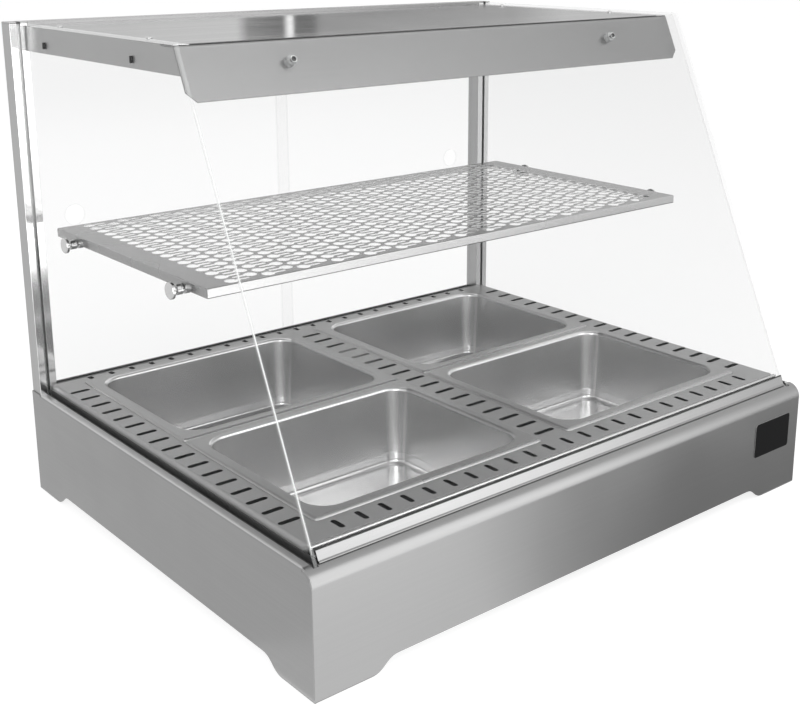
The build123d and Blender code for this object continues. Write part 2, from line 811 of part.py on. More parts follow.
with BuildPart() as front_glass_rail:
    step_z = ledge_height + rail_step_height
    lip_z = deck_height - rail_lip_drop
    toe_y = along_glass(step_z, rail_outer) - rail_toe
    seal_face = -(glass / 2 + rail_seal)
    clear_face = glass / 2 + fit_gap
    with BuildSketch(Plane.YZ.offset(-front_glass_half + rail_end_gap)):
        with BuildLine():
            Polyline(
                (toe_y, ledge_height),
                (toe_y, ledge_height + rail_toe_height),
                (along_glass(step_z, rail_outer), step_z),
                (along_glass(lip_z, rail_outer), lip_z),
                (along_glass(lip_z, seal_face), lip_z),
                (along_glass(groove_height, seal_face), groove_height),
                (along_glass(groove_height, clear_face), groove_height),
                (along_glass(deck_height, clear_face), deck_height),
                (rail_rear, deck_height),
                (rail_rear, ledge_height),
                close=True,
            )
        make_face()
    extrude(amount=2 * (front_glass_half - rail_end_gap))
save(front_glass_rail.part, "front_glass_rail")

with BuildPart() as front_glass_seal:
    with BuildSketch(glass_plane.offset(glass / 2)):
        with Locations((0, glass_bottom + fit_gap)):
            Rectangle(2 * front_glass_half, -glass_bottom - fit_gap - rail_lip_drop,
                      align=(Align.CENTER, Align.MIN))
    extrude(amount=rail_seal)
save(front_glass_seal.part, "front_glass_seal")

with BuildPart() as front_glass:
    with BuildSketch(glass_plane.offset(-glass / 2)):
        with Locations((0, glass_bottom)):
            Rectangle(2 * front_glass_half, glass_top - glass_bottom, align=(Align.CENTER, Align.MIN))
        with Locations(*glass_screw_places):
            Circle(glass_hole_radius, mode=Mode.SUBTRACT)
    extrude(amount=glass)
save(front_glass.part, "front_glass")


# Shelf and its studs

shelf_half = side - shelf_side_gap
shelf_rear = post_front - shelf_rear_gap
shelf_front = shelf_rear - shelf_depth
shelf_middle = (shelf_front + shelf_rear) / 2
shelf_bottom = shelf_height - shelf_flange
stud_places = ((shelf_front + stud_inset, shelf_bottom), (shelf_rear - stud_inset, shelf_bottom))
stud_reach = (side_glass_inner - shelf_half) - stud_groove / 2 + shelf_sheet / 2

with BuildPart() as shelf_stud:
    disc_face = -side_glass_outer
    collar_face = -side_glass_inner
    groove_face = collar_face + stud_reach
    with BuildSketch(Plane.YZ.offset(disc_face - stud_disc)):
        with Locations(*stud_places):
            Circle(stud_disc_radius)
    extrude(amount=stud_disc)
    fillet(shelf_stud.edges().filter_by(GeomType.CIRCLE).group_by(Axis.X)[0], stud_round)
    with BuildSketch(Plane.YZ.offset(disc_face)):
        with Locations(*stud_places):
            Circle(stud_neck_radius)
    extrude(amount=glass)
    with BuildSketch(Plane.YZ.offset(collar_face)):
        with Locations(*stud_places):
            Circle(stud_collar_radius)
    extrude(amount=stud_reach)
    with BuildSketch(Plane.YZ.offset(groove_face)):
        with Locations(*stud_places):
            Circle(stud_groove_radius)
    extrude(amount=stud_groove)
    with BuildSketch(Plane.YZ.offset(groove_face + stud_groove)):
        with Locations(*stud_places):
            Circle(stud_collar_radius)
    extrude(amount=stud_end)
    fillet(shelf_stud.edges().filter_by(GeomType.CIRCLE).group_by(Axis.X)[-1], stud_round)
with BuildPart() as shelf_studs:
    add(shelf_stud.part)
    mirror(shelf_stud.part, about=Plane.YZ)
save(shelf_studs.part, "shelf_studs")

keyhole_reach = keyhole_length - keyhole_head / 2 - keyhole_stem / 2
with BuildSketch() as keyhole:
    Circle(keyhole_head / 2)
    with Locations((keyhole_reach / 2, 0)):
        Rectangle(keyhole_reach, keyhole_stem)
    with Locations((keyhole_reach, 0)):
        Circle(keyhole_stem / 2)
keyhole_cut = keyhole.face().outer_wire()
keyhole_flipped = keyhole_cut.rotate(Axis.Z, 180)

pair_length = keyhole_length + keyhole_shift
pairs_across = int((2 * shelf_half - 2 * keyhole_margin_x - pair_length) / keyhole_pitch_x) + 1
rows_deep = int((shelf_depth - 2 * keyhole_margin_y) / keyhole_pitch_y) + 1
pattern_left = -((pairs_across - 1) * keyhole_pitch_x + pair_length) / 2 + keyhole_head / 2
flipped_left = pattern_left + keyhole_shift + keyhole_reach + keyhole_stem / 2 - keyhole_head / 2
pattern_front = shelf_middle - (rows_deep - 1) * keyhole_pitch_y / 2
keyhole_wires = []
for pair in range(pairs_across):
    along = pair * keyhole_pitch_x
    for row in range(rows_deep):
        across = pattern_front + row * keyhole_pitch_y
        keyhole_wires.append(keyhole_cut.moved(Location((pattern_left + along, across, shelf_height))))
    for row in range(rows_deep - 1):
        across = pattern_front + (row + 0.5) * keyhole_pitch_y
        keyhole_wires.append(keyhole_flipped.moved(Location((flipped_left + along, across, shelf_height))))

# A frame of folded angle carries the perforated plate and hangs on the studs by its notches.
with BuildPart() as shelf_frame:
    frame_top = shelf_height - shelf_sheet - running_gap
    with BuildSketch(Plane.XY.offset(frame_top)):
        with Locations((0, shelf_middle)):
            Rectangle(2 * shelf_half, shelf_depth)
            Rectangle(2 * (shelf_half - shelf_ledge), shelf_depth - 2 * shelf_ledge, mode=Mode.SUBTRACT)
    extrude(amount=-shelf_sheet)
    with BuildSketch(Plane.XY.offset(shelf_bottom)):
        with Locations((0, shelf_middle)):
            Rectangle(2 * shelf_half, shelf_depth)
            Rectangle(2 * (shelf_half - shelf_sheet), shelf_depth - 2 * shelf_sheet, mode=Mode.SUBTRACT)
    extrude(amount=frame_top - shelf_bottom)
    with BuildSketch(Plane.YZ.offset(-shelf_half)):
        with Locations(*stud_places):
            Circle(stud_groove_radius + fit_gap)
    extrude(amount=2 * shelf_half, mode=Mode.SUBTRACT)
save(shelf_frame.part, "shelf_frame")

with BuildPart() as shelf_plate:
    with BuildSketch(Plane.XY.offset(shelf_height), mode=Mode.PRIVATE) as shelf_outline:
        with Locations((0, shelf_middle)):
            Rectangle(2 * shelf_half, shelf_depth)
    perforated = Face(shelf_outline.sketch.face().outer_wire(), keyhole_wires)
    extrude(perforated, amount=-shelf_sheet, clean=False)
save(shelf_plate.part, "shelf_plate")


# Side glasses and their seals

with BuildPart() as side_glass:
    glass_low = lip_top + seal_floor
    glass_high = case_height - side_glass_top_drop
    groove_end = post_front + post_groove_depth - fit_gap
    with BuildSketch(Plane.YZ.offset(-side_glass_outer)):
        with BuildLine():
            Polyline(
                (along_glass(glass_low, side_glass_edge), glass_low),
                (groove_end, glass_low),
                (groove_end, glass_high),
                (along_glass(glass_high, side_glass_edge), glass_high),
                close=True,
            )
        make_face()
        with Locations(*stud_places):
            Circle(stud_neck_radius + screw_clearance, mode=Mode.SUBTRACT)
    extrude(amount=glass)
save_pair(side_glass.part, "side_glass")

with BuildPart() as side_seal:
    seal_top = ledge_height - fit_gap
    seal_length = panel_front - fit_gap - slot_front
    with BuildSketch(Plane.XY.offset(lip_top)):
        with Locations((-side + ledge_width + running_gap, slot_front)):
            Rectangle(slot_width - 2 * running_gap, seal_length, align=(Align.MIN, Align.MIN))
    extrude(amount=seal_top - lip_top)
    with BuildSketch(Plane.XY.offset(lip_top + seal_floor)):
        with Locations((-side_glass_middle, slot_front)):
            Rectangle(glass + 2 * running_gap, seal_length, align=(Align.CENTER, Align.MIN))
    extrude(amount=seal_top - lip_top, mode=Mode.SUBTRACT)
save_pair(side_seal.part, "side_seal")


# Roof

roof_half = side - roof_inset
rail_bottom = roof_height - roof_rail_height
fascia_plane = glass_plane.offset(-fascia_offset)
fascia_back = fascia_offset + sheet
fascia_y = along_glass(roof_height, fascia_offset)
flange_rear = fascia_y + fascia_flange
bumper_places = ((bumper_front_y, roof_height - bumper_drop), (bumper_rear_y, roof_height - bumper_drop))
roof_screw_x = side - roof_screw_inset
roof_screw_rows = (roof_screw_front_y, roof_screw_rear_y)
roof_screw_places = [(x, y) for x in (-roof_screw_x, roof_screw_x) for y in roof_screw_rows]

with BuildPart() as roof_rail:
    under_flange = roof_height - sheet - fit_gap
    with BuildSketch(Plane.YZ.offset(-roof_half)):
        with BuildLine():
            Polyline(
                (along_glass(rail_bottom, fascia_back) + fit_gap, rail_bottom),
                (post_front, rail_bottom),
                (post_front, roof_height),
                (flange_rear + fit_gap, roof_height),
                (flange_rear + fit_gap, under_flange),
                (along_glass(under_flange, fascia_back) + fit_gap, under_flange),
                close=True,
            )
        make_face()
        with Locations(*bumper_places):
            SlotOverall(bumper_length, bumper_width, rotation=90, mode=Mode.SUBTRACT)
    extrude(amount=sheet)
    with BuildSketch(Plane.XY.offset(roof_height)):
        with Locations((-roof_half, flange_rear + fit_gap)):
            Rectangle(roof_top_flange, post_front - flange_rear - fit_gap, align=(Align.MIN, Align.MIN))
        with Locations(*roof_screw_places):
            Circle(roof_screw_radius + screw_clearance, mode=Mode.SUBTRACT)
    extrude(amount=-sheet)
    ceiling_front = fascia_y + ceiling_front_gap
    with BuildSketch(Plane.XY.offset(rail_bottom)):
        with Locations((-roof_half, ceiling_front)):
            Rectangle(roof_bottom_flange, post_front - ceiling_front, align=(Align.MIN, Align.MIN))
    extrude(amount=sheet)
save_pair(roof_rail.part, "roof_rail")

with BuildPart() as side_glass_bumpers:
    for end in (-1, 1):
        with BuildSketch(Plane.YZ.offset(end * (side_glass_inner - running_gap))):
            with Locations(*bumper_places):
                SlotOverall(bumper_length - running_gap, bumper_width - running_gap, rotation=90)
        extrude(amount=-end * (side_glass_inner - running_gap - roof_half + sheet))
save(side_glass_bumpers.part, "side_glass_bumpers")

with BuildPart() as roof_fascia:
    with BuildSketch(fascia_plane) as fascia_outline:
        with Locations((0, fascia_top)):
            Rectangle(2 * roof_half, fascia_length, align=(Align.CENTER, Align.MAX))
        chamfer(fascia_outline.vertices().group_by(Axis.Z)[0], fascia_chamfer)
        with Locations(*glass_screw_places):
            Circle(glass_hole_radius, mode=Mode.SUBTRACT)
    extrude(amount=-sheet)
    with BuildSketch(Plane.XY.offset(roof_height)):
        with Locations((0, fascia_y)):
            Rectangle(2 * roof_half, fascia_flange, align=(Align.CENTER, Align.MIN))
    extrude(amount=-sheet)
save(roof_fascia.part, "roof_fascia")

with BuildPart() as roof_cap:
    cap_front = fascia_y + fit_gap
    with BuildSketch(Plane.XY.offset(roof_height)):
        with Locations((0, cap_front)):
            Rectangle(2 * roof_half, post_front - fit_gap - cap_front, align=(Align.CENTER, Align.MIN))
    extrude(amount=roof_cap_height)
    fillet(roof_cap.faces().sort_by(Axis.Z)[-1].edges(), roof_cap_round)
    offset(amount=-sheet, openings=roof_cap.faces().sort_by(Axis.Z)[0])
    with BuildSketch(Plane.XY.offset(roof_height)):
        with Locations(*roof_screw_places):
            Circle(roof_screw_radius + screw_clearance)
    extrude(amount=roof_cap_height, mode=Mode.SUBTRACT)
save(roof_cap.part, "roof_cap")

with BuildPart() as roof_screws:
    with Locations((0, 0, roof_height + roof_cap_height)):
        with Locations(*roof_screw_places):
            Cylinder(roof_screw_head_radius, roof_screw_head, align=(Align.CENTER, Align.CENTER, Align.MIN))
    fillet(roof_screws.edges().filter_by(GeomType.CIRCLE).group_by(Axis.Z)[-1], roof_screw_round)
    with Locations((0, 0, roof_height + roof_cap_height)):
        with Locations(*roof_screw_places):
            Cylinder(roof_screw_radius, roof_screw_length, align=(Align.CENTER, Align.CENTER, Align.MAX))
save(roof_screws.part, "roof_screws")

with BuildPart(glass_plane) as glass_screws:
    screw_front = glass / 2
    screw_back = -(fascia_offset + sheet + glass_nut)
    with Locations((0, 0, screw_front)):
        with Locations(*glass_screw_places):
            Cylinder(glass_screw_head_radius, glass_screw_head,
                     align=(Align.CENTER, Align.CENTER, Align.MIN))
    fillet(glass_screws.edges().filter_by(GeomType.CIRCLE).group_by(Axis.Y)[0], glass_screw_round)
    with Locations((0, 0, screw_front)):
        with Locations(*glass_screw_places):
            Cylinder(glass_screw_radius, screw_front - screw_back,
                     align=(Align.CENTER, Align.CENTER, Align.MAX))
save(glass_screws.part, "glass_screws")

with BuildPart() as glass_spacers:
    with BuildSketch(fascia_plane):
        with Locations(*glass_screw_places):
            Circle(spacer_radius)
            Circle(glass_hole_radius, mode=Mode.SUBTRACT)
    extrude(amount=spacer_length)
save(glass_spacers.part, "glass_spacers")

with BuildPart() as glass_nuts:
    with BuildSketch(fascia_plane.offset(-sheet)):
        with Locations(*glass_screw_places):
            RegularPolygon(glass_nut_across / 2, hex_sides, major_radius=False)
            Circle(glass_screw_radius + running_gap, mode=Mode.SUBTRACT)
    extrude(amount=-glass_nut)
save(glass_nuts.part, "glass_nuts")


# Ceiling and light under the roof

ceiling_bottom = rail_bottom + sheet

with BuildPart() as ceiling_panel:
    ceiling_half = roof_half - sheet - fit_gap
    with BuildSketch(Plane.XY.offset(ceiling_bottom)):
        with Locations((0, ceiling_front)):
            Rectangle(2 * ceiling_half, post_front - ceiling_rear_gap - ceiling_front,
                      align=(Align.CENTER, Align.MIN))
    extrude(amount=sheet)
save(ceiling_panel.part, "ceiling_panel")

lamp_height = ceiling_bottom - lamp_drop
with BuildPart() as lamp_tube:
    with BuildSketch(Plane.YZ.offset(-lamp_length / 2)):
        with Locations((lamp_y, lamp_height)):
            Circle(lamp_radius)
    extrude(amount=lamp_length)
    for end in (-1, 1):
        with BuildSketch(Plane.YZ.offset(end * lamp_length / 2)):
            with Locations((lamp_y, lamp_height)):
                Circle(lamp_cap_radius)
        extrude(amount=-end * lamp_cap)
save(lamp_tube.part, "lamp_tube")

with BuildPart() as lamp_holders:
    for end in (-1, 1):
        with BuildSketch(Plane.YZ.offset(end * (lamp_length / 2 + fit_gap))):
            with Locations((lamp_y, ceiling_bottom)):
                Rectangle(holder_width, lamp_drop + holder_below, align=(Align.CENTER, Align.MAX))
        extrude(amount=end * holder_thickness)
save(lamp_holders.part, "lamp_holders")


# Rear doors and their tracks

track_middle = (post_front + rear) / 2
door_lines = (track_middle - door_pitch / 2, track_middle + door_pitch / 2)
track_top = deck_height - track_drop
header_bottom = case_height - header_height

with BuildPart() as door_track_bottom:
    with BuildSketch(Plane.YZ.offset(-post_inner)):
        with Locations((post_front, track_top)):
            Rectangle(post_depth, track_height, align=(Align.MIN, Align.MAX))
        for door_y in door_lines:
            with Locations((door_y, track_top)):
                Rectangle(door_groove, track_groove_depth, align=(Align.CENTER, Align.MAX),
                          mode=Mode.SUBTRACT)
    extrude(amount=2 * post_inner)
save(door_track_bottom.part, "door_track_bottom")

with BuildPart() as door_track_top:
    with BuildSketch(Plane.YZ.offset(-post_inner)):
        with Locations((post_front, header_bottom)):
            Rectangle(post_depth, header_height, align=(Align.MIN, Align.MIN))
        for door_y in door_lines:
            with Locations((door_y, header_bottom)):
                Rectangle(door_groove, header_groove_depth, align=(Align.CENTER, Align.MIN),
                          mode=Mode.SUBTRACT)
    extrude(amount=2 * post_inner)
save(door_track_top.part, "door_track_top")

door_low = track_top - track_groove_depth + fit_gap
door_high = header_bottom + door_engagement
door_outer = post_inner - door_side_gap
for door_name, door_y, end in (("door_left", door_lines[0], -1), ("door_right", door_lines[1], 1)):
    with BuildPart() as door:
        with BuildSketch(Plane.XZ.offset(-door_y - glass / 2)) as door_outline:
            with Locations((end * (door_outer - door_overlap / 2) / 2, door_low)):
                Rectangle(door_outer + door_overlap / 2, door_high - door_low,
                          align=(Align.CENTER, Align.MIN))
            fillet(door_outline.vertices(), door_corner)
            with Locations((end * (door_outer - finger_hole_inset), finger_hole_height)):
                Circle(finger_hole_radius, mode=Mode.SUBTRACT)
        extrude(amount=glass)
    save(door.part, door_name)
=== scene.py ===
"""Looks of a heated display case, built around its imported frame. Metres, +Z up, front towards -Y."""

import json
import logging
import math
from dataclasses import dataclass
from enum import Enum

import bmesh
import bpy
import numpy as np
from mathutils import Matrix, Vector
from mathutils.geometry import delaunay_2d_cdt


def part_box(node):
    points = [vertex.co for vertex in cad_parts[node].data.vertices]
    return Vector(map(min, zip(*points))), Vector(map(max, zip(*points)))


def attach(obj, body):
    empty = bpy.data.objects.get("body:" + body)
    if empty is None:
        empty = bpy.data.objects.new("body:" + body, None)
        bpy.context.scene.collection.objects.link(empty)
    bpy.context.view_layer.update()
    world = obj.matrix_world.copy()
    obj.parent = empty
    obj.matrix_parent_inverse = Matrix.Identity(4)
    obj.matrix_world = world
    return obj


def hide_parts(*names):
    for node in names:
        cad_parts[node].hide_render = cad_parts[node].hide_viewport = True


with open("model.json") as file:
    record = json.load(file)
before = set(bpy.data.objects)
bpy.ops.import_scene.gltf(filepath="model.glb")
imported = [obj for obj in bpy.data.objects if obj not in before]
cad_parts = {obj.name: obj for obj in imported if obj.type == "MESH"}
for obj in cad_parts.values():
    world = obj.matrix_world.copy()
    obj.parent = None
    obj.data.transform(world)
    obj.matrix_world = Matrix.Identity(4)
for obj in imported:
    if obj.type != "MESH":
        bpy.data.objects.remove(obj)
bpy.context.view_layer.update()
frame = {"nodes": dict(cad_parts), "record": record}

log = logging.getLogger("display_case")
X_AXIS, Y_AXIS, Z_AXIS = np.eye(3)
SIDES = (("left", -1), ("right", 1))
PANS = ("pan_front_left", "pan_front_right", "pan_rear_left", "pan_rear_right")
WHITE = (1.0, 1.0, 1.0, 1.0)
PAINTED_HIGHLIGHT = "painted_highlight"
GLASS = 0.004
SHARP_ANGLE = math.radians(38)
MERGE_DISTANCE = 1e-6
FILL_DISTANCE = 1e-9
LEAST_RADIUS = 1e-7
LEAST_LENGTH = 1e-12
HOLES_LEFT_OUT = 2

Pair = tuple[float, float]
Pairs = tuple[Pair, ...]
Triple = tuple[float, float, float]
Socket = bpy.types.NodeSocket
Material = bpy.types.Material
Array = np.ndarray


class Grain(Enum):
    """Direction in which a sheet was brushed, as how finely its streaks repeat along X, Y and Z."""

    ALONG_X = (2.5, 420.0, 420.0)
    ALONG_Y = (420.0, 2.5, 420.0)
    ALONG_Z = (420.0, 420.0, 2.5)
    COARSE_X = (0.9, 75.0, 75.0)
    EVEN = (260.0, 260.0, 260.0)


def grey(tone: float) -> tuple[float, float, float, float]:
    """Opaque grey of a tone."""
    return tone, tone, tone, 1.0


def add_node(tree: bpy.types.NodeTree, kind: str, sockets: dict | None = None,
             **settings: object) -> bpy.types.Node:
    """Add a node.

    Args:
        tree: node tree that takes it in.
        kind: Blender's name of the node type.
        sockets: values by input name or number; an output socket is linked, anything else is set.
        settings: the node's own properties.

    Returns:
        The new node.
    """
    node = tree.nodes.new(kind)
    for key, value in settings.items():
        setattr(node, key, value)
    for key, value in (sockets or {}).items():
        if isinstance(value, Socket):
            tree.links.new(value, node.inputs[key])
        else:
            node.inputs[key].default_value = value
    return node


class NodeSheet:
    """A material with an empty node tree, filled node by node."""

    NOISE_MIDDLE = (0.3, 0.7)
    MIX_FIRST, MIX_SECOND, MIX_RESULT = 6, 7, 2

    def __init__(self, name: str) -> None:
        """Make the material and its output.

        Args:
            name: the material's name.
        """
        self.material = bpy.data.materials.new(name)
        self.material.use_nodes = True
        self.tree = self.material.node_tree
        self.tree.nodes.clear()
        self.output = self.tree.nodes.new("ShaderNodeOutputMaterial")

    def add(self, kind: str, sockets: dict | None = None, **settings: object) -> bpy.types.Node:
        """Add a node to the material's own tree."""
        return add_node(self.tree, kind, sockets, **settings)

    def place(self) -> Socket:
        """Object coordinates."""
        return self.add("ShaderNodeTexCoord").outputs["Object"]

    def noise(self, scale: Triple, detail: float) -> Socket:
        """Noise on Object coordinates.

        Args:
            scale: how finely it repeats along each axis.
            detail: how many finer layers it has.

        Returns:
            Its value, between 0 and 1.
        """
        mapping = self.add("ShaderNodeMapping", {"Vector": self.place(), "Scale": scale})
        texture = self.add("ShaderNodeTexNoise", {"Vector": mapping.outputs["Vector"], "Scale": 1.0,
                                                  "Detail": detail})
        return texture.outputs["Fac"]

    def spread(self, value: Socket, low: float, high: float) -> Socket:
        """Map the middle of a noise's range to a low and a high number."""
        limits = dict(zip(("From Min", "From Max", "To Min", "To Max"), (*self.NOISE_MIDDLE, low, high)))
        return self.add("ShaderNodeMapRange", {"Value": value, **limits}).outputs["Result"]

    def vary(self, value: Socket, middle: float, change: float) -> Socket:
        """A number that a noise makes smaller and larger by a share of itself."""
        return self.spread(value, middle * (1 - change), middle * (1 + change))

    def mix(self, factor: Socket, first: Socket | tuple, second: tuple) -> Socket:
        """A first colour that turns into a second one as a factor goes from 0 to 1."""
        sockets = {"Factor": factor, self.MIX_FIRST: first, self.MIX_SECOND: second}
        return self.add("ShaderNodeMix", sockets, data_type="RGBA").outputs[self.MIX_RESULT]

    def shade(self, value: Socket, colour: Triple, change: float) -> Socket:
        """A colour that a noise makes darker and lighter.

        Args:
            value: the noise.
            colour: the colour in its middle.
            change: share of the colour that is taken off or put on.

        Returns:
            The shaded colour.
        """
        dark = tuple(c * (1 - change) for c in colour) + (1.0,)
        light = tuple(min(1.0, c * (1 + change)) for c in colour) + (1.0,)
        return self.mix(self.spread(value, 0.0, 1.0), dark, light)

    def bump(self, height: Socket, strength: float, depth: float) -> Socket:
        """Normals of a surface that a noise raises."""
        sockets = {"Height": height, "Strength": strength, "Distance": depth}
        return self.add("ShaderNodeBump", sockets).outputs["Normal"]

    def surface(self, sockets: dict) -> Material:
        """Close the sheet with a principled surface that has those values."""
        return self.close(self.add("ShaderNodeBsdfPrincipled", sockets))

    def close(self, shader: bpy.types.Node) -> Material:
        """Link the shader to the output and give the material back."""
        self.tree.links.new(shader.outputs[0], self.output.inputs["Surface"])
        return self.material


@dataclass(frozen=True)
class Metal:
    """Sheet or turned metal: fine streaks or speckle, and slow cloudiness in tone and gloss.

    The painted highlight is the tone where the mesh's own painted highlight is 1: a highlight painted onto
    the mesh. The painted shade is a lower height, an upper height and the tone at the lower: shade painted
    darker towards the bottom.
    """

    name: str
    tone: float
    roughness: float
    grain: Grain = Grain.EVEN
    streak: float = 0.05
    relief: float = 0.04
    metallic: float = 1.0
    painted_highlight: float | None = None
    painted_shade: Triple | None = None

    STREAK_DETAIL, CLOUD_DETAIL = 4.0, 2.0
    CLOUD_SCALE = (9.0, 9.0, 9.0)
    GLOSS_CHANGE = 0.12
    RELIEF_DEPTH = 0.0003

    def build(self) -> Material:
        """Make the material.

        Returns:
            The new material.
        """
        sheet = NodeSheet(self.name)
        streaks = sheet.noise(self.grain.value, self.STREAK_DETAIL)
        clouds = sheet.noise(self.CLOUD_SCALE, self.CLOUD_DETAIL)
        colour = sheet.shade(streaks, (self.tone,) * 3, self.streak)
        # painted highlight: the tone turns lighter where the mesh's own attribute is 1, standing in for a
        # reflection
        if self.painted_highlight is not None:
            own = sheet.add("ShaderNodeAttribute", attribute_name=PAINTED_HIGHLIGHT)
            colour = sheet.mix(own.outputs["Fac"], colour, grey(self.painted_highlight))
        # painted shade: darker towards the bottom, from an upper height down to a lower one, where the tone
        # is reached
        if self.painted_shade is not None:
            dark, light, tone = self.painted_shade
            height = sheet.add("ShaderNodeSeparateXYZ", {"Vector": sheet.place()}).outputs["Z"]
            lower = sheet.add("ShaderNodeMapRange", {"Value": height, "From Min": light, "From Max": dark})
            colour = sheet.mix(lower.outputs["Result"], colour, grey(tone))
        return sheet.surface({
            "Base Color": colour,
            "Roughness": sheet.vary(clouds, self.roughness, self.GLOSS_CHANGE),
            "Normal": sheet.bump(streaks, self.relief, self.RELIEF_DEPTH),
            "Metallic": self.metallic,
        })


@dataclass(frozen=True)
class Moulded:
    """Rubber, plastic or ceramic: a coloured body with a fine skin texture."""

    name: str
    colour: Triple
    roughness: float
    texture: float = 900.0
    relief: float = 0.15
    change: float = 0.12
    specular: float = 0.5

    DETAIL = 2.0
    CLOUD_SCALE = (14.0, 14.0, 14.0)
    GLOSS_CHANGE = 0.15
    RELIEF_DEPTH = 0.0002

    def build(self) -> Material:
        """Make the material.

        Returns:
            The new material.
        """
        sheet = NodeSheet(self.name)
        skin = sheet.noise((self.texture,) * 3, self.DETAIL)
        clouds = sheet.noise(self.CLOUD_SCALE, self.DETAIL)
        return sheet.surface({
            "Base Color": sheet.shade(clouds, self.colour, self.change),
            "Roughness": sheet.vary(skin, self.roughness, self.GLOSS_CHANGE),
            "Normal": sheet.bump(skin, self.relief, self.RELIEF_DEPTH),
            "Specular IOR Level": self.specular,
        })


@dataclass(frozen=True)
class Pane:
    """Clear glass seen as a thin sheet: mostly see-through, with faint wiping marks in its gloss, and a
    painted glow that lights it though it is no lamp.
    """

    name: str
    colour: Triple
    alpha: float
    roughness: float
    glow: float = 0.0

    WIPING_SCALE = (5.0, 5.0, 16.0)
    WIPING_DETAIL = 3.0
    COLOUR_CHANGE = 0.015
    GLOSS_CHANGE = 0.3
    GLASS_IOR = 1.5

    def build(self) -> Material:
        """Make the material.

        Returns:
            The new material.
        """
        sheet = NodeSheet(self.name)
        wiping = sheet.noise(self.WIPING_SCALE, self.WIPING_DETAIL)
        return sheet.surface({
            "Base Color": sheet.shade(wiping, self.colour, self.COLOUR_CHANGE),
            "Roughness": sheet.vary(wiping, self.roughness, self.GLOSS_CHANGE),
            "Alpha": self.alpha,
            "IOR": self.GLASS_IOR,
            # painted glow: the pane's own colour given off as light, no lamp
            "Emission Color": (*self.colour, 1.0),
            "Emission Strength": self.glow,
        })


